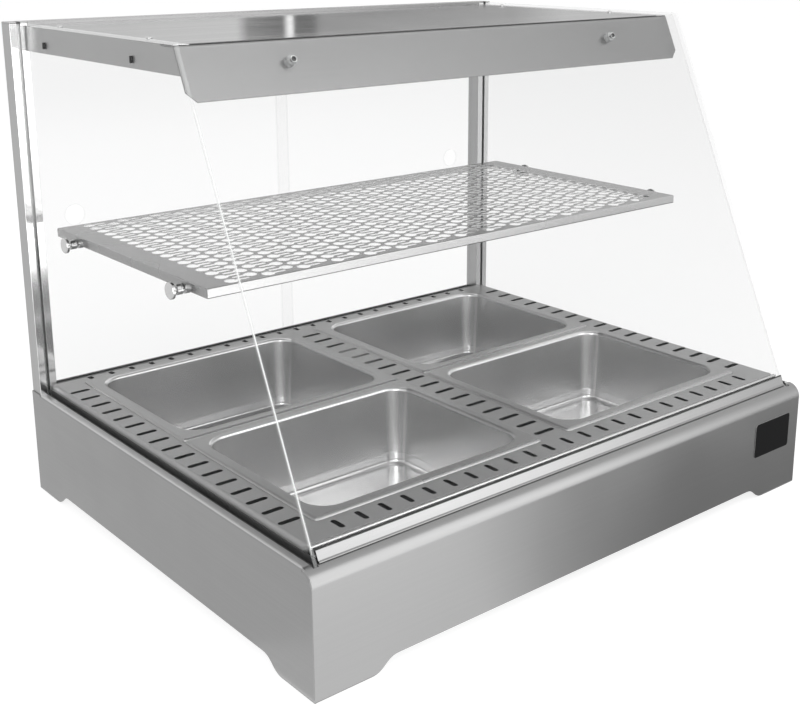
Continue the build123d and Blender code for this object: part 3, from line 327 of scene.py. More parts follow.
FINISHES = (
    Metal("front_steel", 0.30, 0.32, Grain.ALONG_X, 0.012, 0.01),
    Metal("side_steel", 0.28, 0.36, Grain.ALONG_Y, 0.02, 0.01),
    # lighter copy of the side steel: a painted highlight on the side panels' upper fold and ledge
    Metal("ledge_steel", 0.46, 0.36, Grain.ALONG_Y, 0.02, 0.01, metallic=0.7),
    Metal("rear_steel", 0.30, 0.40, Grain.ALONG_X, 0.03, 0.02),
    Metal("deck_steel", 0.36, 0.40, Grain.ALONG_X, 0.02, 0.0, metallic=0.55),
    Metal("deck_edge_steel", 0.38, 0.20, Grain.ALONG_X, 0.04, 0.0),
    # One pan steel in five tones by place, standing in for how light falls: walls lighter than the rim and
    # carrying painted highlight streaks, the floor painted lighter still, the rim at the deck's darker tone,
    # and a painted highlight on the far lip and the front roll.
    Metal("pan_steel", 0.63, 0.24, Grain.ALONG_X, 0.01, 0.0, metallic=0.82, painted_highlight=1.0),
    Metal("pan_floor_steel", 0.72, 0.22, Grain.ALONG_X, 0.01, 0.0, metallic=0.82),
    Metal("pan_roll_highlight_steel", 0.48, 0.26, Grain.ALONG_X, 0.01, 0.0, metallic=0.7),
    Metal("pan_lip_highlight_steel", 0.85, 0.24, Grain.ALONG_X, 0.01, 0.0, metallic=0.6),
    Metal("pan_rim_steel", 0.34, 0.32, Grain.ALONG_X, 0.01, 0.0, metallic=0.75),
    Metal("fascia_steel", 0.30, 0.34, Grain.ALONG_X, 0.02, 0.01),
    Metal("rail_steel", 0.38, 0.38, Grain.ALONG_Y, 0.02, 0.01),
    Metal("roof_steel", 0.24, 0.12, Grain.COARSE_X, 0.30, 0.5),
    # darkest steel, used as painted shade on the fascia's top fold, the roof sheet's edges and the shelf hem,
    # and as the glass screws' heads
    Metal("roof_edge_steel", 0.10, 0.30, Grain.ALONG_X, 0.05, 0.0),
    Metal("roof_strip_steel", 0.62, 0.22, Grain.ALONG_Y, 0.03, 0.0),
    Metal("shelf_steel", 0.34, 0.26, Grain.ALONG_X, 0.03, 0.0),
    # lighter copy of the shelf steel: a painted highlight on the shelf frame's front and rear runs
    Metal("shelf_edge_steel", 0.52, 0.26, Grain.ALONG_X, 0.02, 0.0),
    Metal("shelf_hole_steel", 0.88, 0.30, Grain.EVEN, 0.02, 0.0, metallic=0.3),
    Metal("mirror_aluminium", 0.96, 0.13, Grain.ALONG_Z, 0.01, 0.0),
    # groove walls of the left post: near white, with shade painted darker towards the bottom of the groove
    Metal("groove_aluminium", 0.96, 0.20, Grain.ALONG_Z, 0.01, 0.0, metallic=0.2,
          painted_shade=(0.31, 0.40, 0.03)),
    Metal("polished_aluminium", 0.92, 0.12, Grain.ALONG_Z, 0.02, 0.0, metallic=0.35),
    # lighter aluminium: a painted highlight on the top of the glass rail's rear wall
    Metal("painted_highlight_aluminium", 0.66, 0.22, Grain.ALONG_X, 0.02, 0.0),
    Metal("rail_aluminium", 0.32, 0.26, Grain.ALONG_X, 0.03, 0.01),
    Metal("post_side_aluminium", 0.36, 0.30, Grain.ALONG_Z, 0.04, 0.01),
    Metal("turned_steel", 0.55, 0.20, Grain.EVEN, 0.04, 0.01),
    Metal("element_steel", 0.05, 0.55, Grain.EVEN, 0.25, 0.20),
    Metal("tray_steel", 0.40, 0.45, Grain.EVEN, 0.12, 0.08),
    Metal("zinc", 0.46, 0.35, Grain.EVEN, 0.15, 0.08),
    Moulded("rubber", (0.020, 0.020, 0.020), 0.62, 1400.0, 0.06),
    Moulded("seal_rubber", (0.045, 0.045, 0.045), 0.50, 1400.0, 0.06),
    Moulded("black_plastic", (0.020, 0.020, 0.021), 0.42, 1200.0, 0.20),
    Moulded("dark_track", (0.045, 0.045, 0.047), 0.38, 1200.0, 0.12),
    Moulded("badge_black", (0.004, 0.004, 0.0045), 0.30, 1500.0, 0.03, specular=0.12),
    Moulded("red_lens", (0.42, 0.012, 0.010), 0.18, 900.0, 0.05),
    Moulded("switch_green", (0.015, 0.20, 0.05), 0.24, 900.0, 0.05),
    Moulded("ceramic_white", (0.72, 0.70, 0.66), 0.35, 800.0, 0.08, 0.05),
    Moulded("lamp_glass", (0.80, 0.80, 0.77), 0.30, 600.0, 0.03, 0.03),
    Moulded("print_white", (0.75, 0.75, 0.75), 0.50, 900.0, 0.05, 0.05),
    Pane("glass", (0.14, 0.15, 0.15), 0.045, 0.03),
    Pane("clear_plastic", (0.86, 0.87, 0.87), 0.45, 0.12),
    # the ground edge and the arris glow: a painted glow that keeps them white, though they are no lamp
    Pane("glass_edge", (0.93, 0.95, 0.94), 0.20, 0.30, 0.15),
    Pane("glass_arris", (0.96, 0.97, 0.97), 0.90, 0.35, 0.25),
    Pane("door_glass", (0.14, 0.15, 0.15), 0.022, 0.03),
    Pane("door_edge", (0.80, 0.82, 0.81), 0.08, 0.30),
)


@dataclass(frozen=True)
class Plane:
    """A flat frame that outlines are drawn on: a point, its two directions and the way its face looks."""

    origin: Array
    across: Array
    up: Array

    @classmethod
    def level(cls, height: float) -> "Plane":
        """Level plane at a height that looks up, drawn on in X and Y."""
        return cls(height * Z_AXIS, X_AXIS, Y_AXIS)

    @classmethod
    def facing_right(cls, x: float) -> "Plane":
        """Upright plane at an X that looks to the right, drawn on in Y and Z."""
        return cls(x * X_AXIS, Y_AXIS, Z_AXIS)

    @classmethod
    def facing_front(cls, x: float, y: float, z: float) -> "Plane":
        """Upright plane through a point that looks to the front, drawn on in X and Z."""
        return cls(np.array([x, y, z]), X_AXIS, Z_AXIS)

    @classmethod
    def facing_rear(cls, x: float, y: float, z: float) -> "Plane":
        """Upright plane through a point that looks to the rear, drawn on in -X and Z."""
        return cls(np.array([x, y, z]), -X_AXIS, Z_AXIS)

    @property
    def out(self) -> Array:
        """Direction that the face looks in."""
        return np.cross(self.across, self.up)

    def lift(self, flat: Array, height: float | Array = 0.0) -> Array:
        """Carry flat points into space.

        Args:
            flat: array (..., 2) of places on the plane.
            height: distance out of the plane, one number or an array that fits (..., 1).

        Returns:
            Array (..., 3) of points.
        """
        on_plane = self.origin + flat[..., :1] * self.across + flat[..., 1:] * self.up
        return on_plane + np.asarray(height) * self.out


LEVEL = Plane.level(0.0)


def unit(vectors: Array) -> Array:
    """Vectors divided by their lengths."""
    return vectors / np.maximum(np.linalg.norm(vectors, axis=-1, keepdims=True), LEAST_LENGTH)


def full_turn(steps: int) -> Array:
    """Angles of a whole turn in even steps, without its end."""
    return np.linspace(0, 2 * math.pi, steps, endpoint=False)


def quarter_turn(points: int) -> Array:
    """Angles of a quarter turn at a number of points, with its end."""
    return np.linspace(0, math.pi / 2, points)


def spokes(angle: Array) -> Array:
    """Cosine and sine of each angle, as points of a circle of radius 1."""
    return np.c_[np.cos(angle), np.sin(angle)]


def rounded(corners: list | Array, radius: float | list, steps: int) -> Array:
    """Closed outline whose corners are arcs tangent to their two edges.

    An arc's centre lies on the corner's bisector at radius / sin(half the corner's angle), and its points are
    turned evenly from one tangent point to the other.

    Args:
        corners: outline corners (n, 2).
        radius: one radius, or one for each corner.
        steps: divisions of each arc.

    Returns:
        Array (n * (steps + 1), 2).
    """
    corner = np.asarray(corners, float)
    size = np.broadcast_to(np.maximum(np.asarray(radius, float), LEAST_RADIUS), len(corner))[:, None]
    back, ahead = unit(np.roll(corner, 1, 0) - corner), unit(np.roll(corner, -1, 0) - corner)
    half = np.arccos(np.clip((back * ahead).sum(1, keepdims=True), -1, 1)) / 2
    centre = corner + unit(back + ahead) * size / np.sin(half)
    first = corner + back * size / np.tan(half) - centre
    last = corner + ahead * size / np.tan(half) - centre
    turn = (math.pi - 2 * half)[:, None]
    part = np.linspace(0, 1, steps + 1)[None, :, None]
    arc = (first[:, None] * np.sin((1 - part) * turn) + last[:, None] * np.sin(part * turn)) / np.sin(turn)
    return (centre[:, None] + arc).reshape(-1, 2)


def box_outline(half_x: float, half_y: float, radius: float | list, steps: int,
                centre: Pair | Array = (0.0, 0.0)) -> Array:
    """Outline of a rounded rectangle, from its lower left corner round.

    Args:
        half_x: half its width.
        half_y: half its height.
        radius: one radius, or one for each corner.
        steps: divisions of each corner.
        centre: its middle.

    Returns:
        Array (4 * (steps + 1), 2).
    """
    corners = np.array([(-half_x, -half_y), (half_x, -half_y), (half_x, half_y), (-half_x, half_y)])
    return rounded(centre + corners, radius, steps)


def circle_outline(radius: float, steps: int, centre: Pair) -> Array:
    """Outline of a circle about a centre."""
    return centre + radius * spokes(full_turn(steps))


def inset(outline: Array, distance: float | Array) -> Array:
    """Outline moved inwards, each point along the mitre of its two edges.

    The mitre is the sum of the two edges' inward normals divided by 1 plus the cosine between them.

    Args:
        outline: closed outline (n, 2), counter-clockwise.
        distance: one distance, or one for each point (n, 1); below 0 the outline moves outwards.

    Returns:
        The moved outline (n, 2).
    """
    edge = unit(np.roll(outline, -1, 0) - outline)
    inward = np.c_[-edge[:, 1], edge[:, 0]]
    before = np.roll(inward, 1, 0)
    mitre = (inward + before) / (1 + (inward * before).sum(1, keepdims=True))
    return outline + distance * mitre


def quarter(radius: float, steps: int) -> tuple[Array, Array]:
    """A quarter round, as how far in from its side it lies and how far up it has gone at each step."""
    angle = quarter_turn(steps + 1)
    return radius * (1 - np.sin(angle)), radius * (1 - np.cos(angle))


def rounded_side(thickness: float, edge: float, steps: int) -> tuple[Array, Array]:
    """A plate's side between two quarter rounds, as how far in it lies and how far up it has gone."""
    inwards, up = quarter(edge, steps)
    return np.r_[inwards, inwards[::-1]], np.r_[up, thickness - up[::-1]]


def sunk_lines(outer: Array, inner: Array, sunk: Array) -> Array:
    """Outer line of a folded sheet's section, moved into the sheet by each of several distances.

    Args:
        outer: line of the sheet's outside (n, 2).
        inner: line of its inside (n, 2).
        sunk: the distances (m).

    Returns:
        Array (m, n, 2).
    """
    section = np.vstack([outer, inner[::-1]])[::-1]
    return np.stack([inset(section, distance)[::-1][:len(outer)] for distance in sunk])


def along_x(places: Array, lines: Array) -> Array:
    """Lines (m, n, 2) in Y and Z, each set at its own place along X."""
    return np.concatenate([np.broadcast_to(places[:, None, None], lines.shape[:2] + (1,)), lines], -1)


def put(name: str, data: bpy.types.ID) -> bpy.types.Object:
    """Put an object with that data into the scene.

    Args:
        name: the object's name.
        data: its mesh, light or camera.

    Returns:
        The new object, at the origin.
    """
    made = bpy.data.objects.new(name, data)
    bpy.context.scene.collection.objects.link(made)
    return made


class Skin:
    """A mesh gathered from worked-out surfaces, with a finish number for each face."""

    WALL_STEPS = 2
    STEEP = 0.9

    def __init__(self) -> None:
        """Start with nothing."""
        self.points: list[Array] = []
        self.faces: list[list[int]] = []
        self.marks: list[int] = []
        self.painted_highlight: Array | None = None
        self.count = 0

    def add(self, points: Array, faces: list, mark: int | Array) -> None:
        """Take in points and faces.

        Args:
            points: array (n, 3), or one that can be read so.
            faces: lists of point numbers that count from the first of these points.
            mark: one finish number, or one for each face.
        """
        self.points.append(points.reshape(-1, 3))
        self.faces += [[index + self.count for index in face] for face in faces]
        self.marks += np.broadcast_to(mark, len(faces)).tolist()
        self.count += points.size // 3

    def rings(self, rings: Array, loop: bool = False, caps: bool = True, mark: int | Array = 0,
              cap_mark: int | None = None) -> None:
        """Join closed rings into a skin: the surface of (which ring, how far round it).

        Args:
            rings: array (m, n, 3).
            loop: whether the last ring joins the first.
            caps: whether flat faces close the two ends.
            mark: finish number of the skin, or an array of them that fits (rows, columns).
            cap_mark: finish number of the caps, if it is another.
        """
        many, around = rings.shape[:2]
        row = np.arange(many if loop else many - 1)[:, None]
        column = np.arange(around)[None]
        ahead, above = (column + 1) % around, (row + 1) % many
        quads = np.stack([row * around + column, row * around + ahead, above * around + ahead,
                          above * around + column], -1).reshape(-1, 4)
        start = self.count
        self.add(rings, quads.tolist(), np.broadcast_to(mark, (len(row), around)).ravel())
        if caps and not loop:
            ends = [list(range(around))[::-1], [(many - 1) * around + i for i in range(around)]]
            self.faces += [[index + start for index in end] for end in ends]
            self.marks += [mark if cap_mark is None else cap_mark] * 2

    def folded(self, outer: Array, inner: Array, bright: slice | None = None) -> None:
        """A folded sheet: its outer and inner lines joined along it, both ends closed by strips.

        Args:
            outer: lines of its outside (m, n, 3).
            inner: lines of its inside, point for point one sheet further in.
            bright: stretches of the outer line that get finish number 1.
        """
        many, points = outer.shape[:2]
        start, around = self.count, 2 * points
        marks = np.zeros((1, around), int)
        if bright is not None:
            marks[0, bright] = 1
        self.rings(np.concatenate([outer, inner[:, ::-1]], 1), caps=False, mark=marks)
        near = np.arange(points - 1)
        strip = np.stack([near, near + 1, around - 2 - near, around - 1 - near], -1)
        ends = np.concatenate([strip, strip[:, ::-1] + (many - 1) * around]) + start
        self.faces += ends.tolist()
        self.marks += [0] * len(ends)

    def plate(self, plane: Plane, outline: Array, thickness: float, edge: float, steps: int = 3,
              mark: int = 0, edge_mark: int | Array | None = None) -> None:
        """A plate or bar: its outline carried through a thickness, with quarter-round edges at both faces.

        Args:
            plane: the plane of its back face.
            outline: its shape (n, 2), counter-clockwise seen from the front.
            thickness: distance to its front face.
            edge: radius of its edges.
            steps: divisions of each edge.
            mark: finish number of its two faces.
            edge_mark: finish number of its edge if it is another, or one for each side of the outline.
        """
        side = zip(*rounded_side(thickness, edge, steps))
        rings = np.stack([plane.lift(inset(outline, inwards), up) for inwards, up in side])
        self.rings(rings, mark=mark if edge_mark is None else edge_mark, cap_mark=mark)

    def punched(self, plane: Plane, outline: Array, holes: list[Array], thickness: float,
                edge: float, wall: bool = True, mark: int = 0, edge_marks: tuple[int, int] = (0, 0),
                plain: list[int] | None = None) -> None:
        """A flat sheet with punched holes: two faces filled between its loops, and a rounded wall in each.

        Args:
            plane: the plane of its back face.
            outline: its outer loop (n, 2), counter-clockwise.
            holes: the loops of its holes, counter-clockwise.
            thickness: distance to its front face.
            edge: radius of its edges.
            wall: whether the outer loop gets a wall too.
            mark: finish number of the faces.
            edge_marks: finish numbers of the walls and of their rounding at the front face.
            plain: sides of the outer loop whose wall has the faces' finish.
        """
        walls = [(hole, -1.0) for hole in holes] + ([(outline, 1.0)] if wall else [])
        mouths = [inset(outline, edge if wall else 0.0)] + [inset(hole, -edge) for hole in holes]
        ends = np.cumsum([0, *map(len, mouths)])
        loops = [list(range(start, end)) for start, end in zip(ends, ends[1:])]
        flat = [Vector(point) for point in np.vstack(mouths)]
        filled, _, triangles, *_ = delaunay_2d_cdt(flat, [], loops, HOLES_LEFT_OUT, FILL_DISTANCE)
        spots = np.array([tuple(point) for point in filled])
        self.add(plane.lift(spots, thickness), triangles, mark)
        self.add(plane.lift(spots, 0.0), [triangle[::-1] for triangle in triangles], mark)
        inwards, up = rounded_side(thickness, edge, self.WALL_STEPS)
        side_mark, front_mark = edge_marks
        rows = np.array([side_mark] * (self.WALL_STEPS + 1) + [front_mark] * self.WALL_STEPS)[:, None]
        for loop, way in walls:
            rings = np.stack([plane.lift(inset(loop, way * d), h) for d, h in zip(inwards, up)])
            marks = np.repeat(rows, len(loop), 1)
            if way > 0 and plain:
                marks[:, plain] = mark
            self.rings(rings, caps=False, mark=marks)

    def turned(self, base: Array, axis: Array, profile: list, steps: int = 40, mark: int = 0,
               cap_mark: int | None = None) -> None:
        """A turned piece: a profile spun about an axis.

        Args:
            base: where the axis starts.
            axis: its direction.
            profile: pairs of a radius, or of radii round the axis (steps, 1), and a distance along it.
            steps: divisions round the axis.
            mark: finish number.
            cap_mark: finish number of its two flat ends, if it is another.
        """
        along = unit(np.asarray(axis, float))
        side = unit(np.cross(along, Z_AXIS if abs(along[2]) < self.STEEP else X_AXIS))
        over = np.cross(along, side)
        angle = full_turn(steps)[:, None]
        spoke = np.cos(angle) * side + np.sin(angle) * over
        rings = np.stack([base + radius * spoke + far * along for radius, far in profile])
        self.rings(rings, mark=mark, cap_mark=cap_mark)

    def piece(self, name: str, materials: list[Material]) -> bpy.types.Object:
        """Make the object: doubles merged, faces turned outwards, smooth but for sharp edges.

        Args:
            name: the piece's name.
            materials: finishes in the order of the face numbers.

        Returns:
            The new object, at the origin.
        """
        mesh = bpy.data.meshes.new(name)
        mesh.from_pydata(np.vstack(self.points).tolist(), [], self.faces)
        for material in materials:
            mesh.materials.append(material)
        mesh.polygons.foreach_set("material_index", self.marks)
        # painted highlight of each point, kept on the mesh for the material
        if self.painted_highlight is not None:
            own = mesh.attributes.new(PAINTED_HIGHLIGHT, "FLOAT", "POINT")
            own.data.foreach_set("value", self.painted_highlight.astype(np.float32).ravel())
        work = bmesh.new()
        work.from_mesh(mesh)
        bmesh.ops.remove_doubles(work, verts=work.verts, dist=MERGE_DISTANCE)
        bmesh.ops.dissolve_degenerate(work, edges=work.edges, dist=MERGE_DISTANCE)
        bmesh.ops.recalc_face_normals(work, faces=work.faces)
        work.to_mesh(mesh)
        work.free()
        mesh.polygons.foreach_set("use_smooth", [True] * len(mesh.polygons))
        mesh.set_sharp_from_angle(angle=SHARP_ANGLE)
        made = put(name, mesh)
        weighted = made.modifiers.new("even_faces", "WEIGHTED_NORMAL")
        weighted.keep_sharp = True
        return made


class Workshop:
    """Puts finished pieces on their bodies and dresses the nodes that stay."""

    def __init__(self) -> None:
        """Make every finish, and note which body and slot each node has."""
        record = frame["record"]
        self.finishes = {finish.name: finish.build() for finish in FINISHES}
        self.body_of = {node: body for body, nodes in record["behaviour"]["bodies"].items() for node in nodes}
        self.slot_of = {row["node"]: row["material_slot"] for row in record["subparts"]}

    def place(self, skin: Skin, name: str, finishes: list[str], *nodes: str) -> None:
        """Make a piece that stands for CAD nodes, and let it ride on their body.

        Args:
            skin: the worked-out mesh.
            name: the piece's name.
            finishes: names of its finishes.
            nodes: the CAD nodes that it stands for; the first gives its body.
        """
        piece = skin.piece(name, [self.finishes[finish] for finish in finishes])
        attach(piece, self.body_of[nodes[0]])
        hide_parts(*nodes)
        log.info("%s: %d faces for %s", name, len(piece.data.polygons), ", ".join(nodes))

    def dress(self, finish: str, *nodes: str) -> None:
        """Give CAD nodes whose shape is right a finish.

        Args:
            finish: the finish's name.
            nodes: the CAD nodes.
        """
        for node in nodes:
            mesh = frame["nodes"][node].data
            mesh.materials.clear()
            mesh.materials.append(self.finishes[finish])
            log.info("%s keeps its shape in %s", node, finish)


def low(node: str) -> Array:
    """Lowest corner of a CAD node."""
    return np.array(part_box(node)[0])


def high(node: str) -> Array:
    """Highest corner of a CAD node."""
    return np.array(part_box(node)[1])


def extent(node: str) -> tuple[Array, Array]:
    """Middle and half size of a CAD node."""
    return (low(node) + high(node)) / 2, (high(node) - low(node)) / 2


def four_places(node: str, margin: float) -> list[Pair]:
    """(X, Y) of four like pieces, each a margin inside a corner of the CAD node that holds them."""
    (x0, y0, _), (x1, y1, _) = low(node), high(node)
    return [(x, y) for x in (x0 + margin, x1 - margin) for y in (y0 + margin, y1 - margin)]


def arch_line(start: float, finish: float, foot: float, lift: float, rise: float,
              curve: float = 0.035, points: int = 15) -> tuple[Array, Array]:
    """Bottom edge of a base panel: two flat feet and a raised middle, joined by smooth S-bends.

    Each bend is a cubic curve that leaves and arrives level, with its two handles halfway along it.

    Args:
        start: where the panel begins.
        finish: where it ends.
        foot: length of each foot.
        lift: height of the feet.
        rise: how far the middle is raised over them.
        curve: length of a bend.
        points: points on a bend.

    Returns:
        Places along the panel and the height of its edge at each.
    """
    part = np.linspace(0, 1, points)
    along = curve * (1.5 * part * (1 - part) + part ** 3)
    up = rise * (3 * part ** 2 * (1 - part) + part ** 3)
    places = np.r_[start, start + foot + along, (finish - foot - along)[::-1], finish]
    return places, lift + np.r_[0, up, up[::-1], 0]


@dataclass
class Base:
    """The stainless base: front panel with its bullnose, two sides with their ledges, badge plate and feet.

    A foot's rounding is how far in from its tread it lies and how high, and its groove is given in shares of
    the foot's taper and height.
    """

    shop: Workshop
    sheet: float = 0.0015
    nose: float = 0.017
    nose_points: int = 13
    fold: float = 0.0018
    fold_points: int = 5
    ledge_return: float = 0.010
    ledge_width: float = 0.0095
    slot_inset: float = 0.0065
    front_foot: float = 0.070
    end_round: float = 0.0011
    end_points: int = 6
    overlap: float = 0.00002
    side_fold: float = 0.0040
    side_fold_points: int = 8
    side_fold_bright: int = 4
    side_nose_points: int = 12
    side_foot: float = 0.057
    side_edge: float = 0.0002
    arch_rise: float = 0.0145
    badge_corner: float = 0.004
    badge_edge: float = 0.0004
    foot_top: float = 0.015
    foot_tread: float = 0.012
    foot_rounding: Pairs = ((0.0030, 0.0010), (0.0022, 0.0), (0.0008, 0.0004), (0.0, 0.0020))
    foot_groove: Pairs = ((0.55, 0.55), (0.62, 0.60))
    foot_brim: float = 0.0006

    def __post_init__(self) -> None:
        """Take the places from the frame."""
        self.side, self.rear, _ = high("base_side_right")
        _, self.front, self.lift = low("base_front_panel")
        _, self.ledge_rear, self.ledge = high("base_front_panel")
        self.nose_rear = self.front + self.nose
        self.post_front = low("upright_left")[1]
        self.slot_front = low("side_seal_left")[1]

    def nose_line(self, radius: float, top: float) -> Array:
        """Arc of the bullnose, about a middle one nose behind its front and one nose under its top.

        Args:
            radius: radius of the arc.
            top: Y where it ends.

        Returns:
            Array (n, 2) of Y and Z, from the front face up.
        """
        finish = math.acos(np.clip((top - self.nose_rear) / radius, -1.0, 1.0))
        turn = np.linspace(math.pi, finish, self.nose_points)
        return np.array([self.nose_rear, self.ledge - self.nose]) + radius * spokes(turn)

    def front_span(self, skin: Skin, places: Array, heights: Array, top: float, ledge: bool) -> None:
        """One stretch of the front panel: the bullnose and the ledge behind it, carried along X.

        Near the panel's two ends its outside sinks in by a quarter round.

        Args:
            skin: mesh that takes the stretch in.
            places: X of each section.
            heights: lower edge of each section.
            top: Y where the bullnose ends.
            ledge: whether the ledge and its turned-down rear edge follow.
        """
        turn = spokes(quarter_turn(self.fold_points)[::-1])
        corner = np.array([self.ledge_rear - self.fold, self.ledge - self.fold])
        foot = self.ledge - self.ledge_return
        lines = []
        for depth in (0.0, self.sheet):
            line = [[self.front + depth, 0.0], self.nose_line(self.nose - depth, top)]
            if ledge:
                line += [corner + (self.fold - depth) * turn, [self.ledge_rear - depth, foot]]
            lines.append(np.vstack(line))
        rim = np.clip(self.end_round - (self.side - np.abs(places)), 0.0, self.end_round)
        sunk = self.end_round - np.sqrt(self.end_round ** 2 - rim ** 2)
        sections = [sunk_lines(*lines, sunk), np.repeat(lines[1][None], len(places), 0)]
        for line, section in zip(lines, sections):
            section[:, 0, 0] = line[0, 0]
            section[:, 0, 1] = heights
        skin.folded(*(along_x(places, section) for section in sections))

    def front_panel(self) -> None:
        """Front panel in stretches: a middle with the ledge, two glass slots and the ends beside them."""
        slot_inner, slot_outer = high("side_seal_right")[0] - self.slot_inset, self.side - self.ledge_width
        places, heights = arch_line(-self.side, self.side, self.front_foot, self.lift, self.arch_rise)
        inside = np.abs(places) < slot_inner
        skin = Skin()
        self.front_span(skin, np.r_[-slot_inner, places[inside], slot_inner],
                        np.r_[self.lift, heights[inside], self.lift], self.nose_rear, True)
        slot = np.array([slot_inner - self.overlap, slot_outer + self.overlap])
        end = np.r_[slot_outer, self.side - self.end_round * (1 - np.sin(quarter_turn(self.end_points)))]
        for _, hand in SIDES:
            for across, top in ((slot, self.slot_front), (end, self.nose_rear)):
                self.front_span(skin, np.sort(hand * across), np.full(len(across), self.lift), top, False)
        self.shop.place(skin, "front_panel", ["front_steel"], "base_front_panel")

    def side_panel(self, name: str, hand: int) -> None:
        """Side panel: a sheet folded into the ledge and carried along Y, and a plain sheet by the upright.

        Behind the bullnose the ledge drops as the nose's arc does.

        Args:
            name: which side.
            hand: -1 on the left, 1 on the right.
        """
        thin = self.sheet
        turn = spokes(np.linspace(math.pi, math.pi / 2, self.side_fold_points))
        fold_middle = np.array([self.side_fold - self.side, self.ledge - self.side_fold])
        lines = [np.vstack([[depth - self.side, self.lift], fold_middle + (self.side_fold - depth) * turn,
                            [self.ledge_width - self.side, self.ledge - depth]]) for depth in (0.0, thin)]
        places, heights = arch_line(self.front + thin, self.rear, self.side_foot - thin, self.lift,
                                    self.arch_rise)
        bow = quarter_turn(self.side_nose_points)
        nose_places = self.nose_rear - (self.nose - thin) * np.cos(bow)
        nose_drop = (self.nose - thin) * (1 - np.sin(bow)) + thin
        flanged = places < self.post_front
        stations = np.r_[nose_places, self.nose_rear + self.overlap, places[flanged][1:], self.post_front]
        bottom = np.r_[np.full(len(bow) + 1, self.lift), heights[flanged][1:], self.lift]
        drop = np.r_[nose_drop, np.zeros(len(stations) - len(bow))]
        sections = []
        for line in lines:
            flat = np.repeat(line[None], len(stations), 0)
            flat[:, 1:, 1] -= drop[:, None]
            flat[:, 0, 1] = bottom
            along = np.broadcast_to(stations[:, None], flat.shape[:2])
            sections.append(np.stack([-hand * flat[..., 0], along, flat[..., 1]], -1))
        skin = Skin()
        # the upper half of the fold and the ledge get the lighter steel: a painted highlight where they turn
        # to face up
        skin.folded(*sections, bright=slice(self.side_fold_bright, len(lines[0]) - 1))
        rear_part = Plane(hand * self.side * X_AXIS, -hand * Y_AXIS, Z_AXIS)
        near, far = sorted((-hand * self.post_front, -hand * self.rear))
        outline = np.array([(near, self.lift), (far, self.lift), (far, self.ledge), (near, self.ledge)])
        skin.plate(rear_part, outline, thin, self.side_edge)
        self.shop.place(skin, f"side_panel_{name}", ["side_steel", "ledge_steel"], f"base_side_{name}")

    def badge(self) -> None:
        """Blank badge plate: a rounded black plate with bright edges."""
        centre, half = extent("badge_plate")
        back = high("badge_plate")[1]
        outline = box_outline(half[0], half[2], self.badge_corner, steps=8)
        skin = Skin()
        skin.plate(Plane.facing_front(centre[0], back, centre[2]), outline, back - low("badge_plate")[1],
                   self.badge_edge, edge_mark=1)
        self.shop.place(skin, "badge_plate_blank", ["badge_black", "rail_aluminium"], "badge_plate")

    def feet(self) -> None:
        """Four turned rubber feet, each a tapered cone with a rounded tread and a shallow groove."""
        top, tread, tall = self.foot_top, self.foot_tread, high("rubber_feet")[2]
        profile = [(tread - inwards, up) for inwards, up in self.foot_rounding]
        profile += [(tread + (top - tread) * taper, tall * up) for taper, up in self.foot_groove]
        profile += [(top, tall - self.foot_brim), (top - self.foot_brim, tall)]
        skin = Skin()
        for x, y in four_places("rubber_feet", top):
            skin.turned(np.array([x, y, 0.0]), Z_AXIS, profile)
        self.shop.place(skin, "feet", ["rubber"], "rubber_feet")

    def build(self) -> None:
        """Make every piece of the base."""
        self.front_panel()
        for name, hand in SIDES:
            self.side_panel(name, hand)
        self.badge()
        self.feet()
        self.shop.dress("rear_steel", "base_rear_panel", "base_floor")


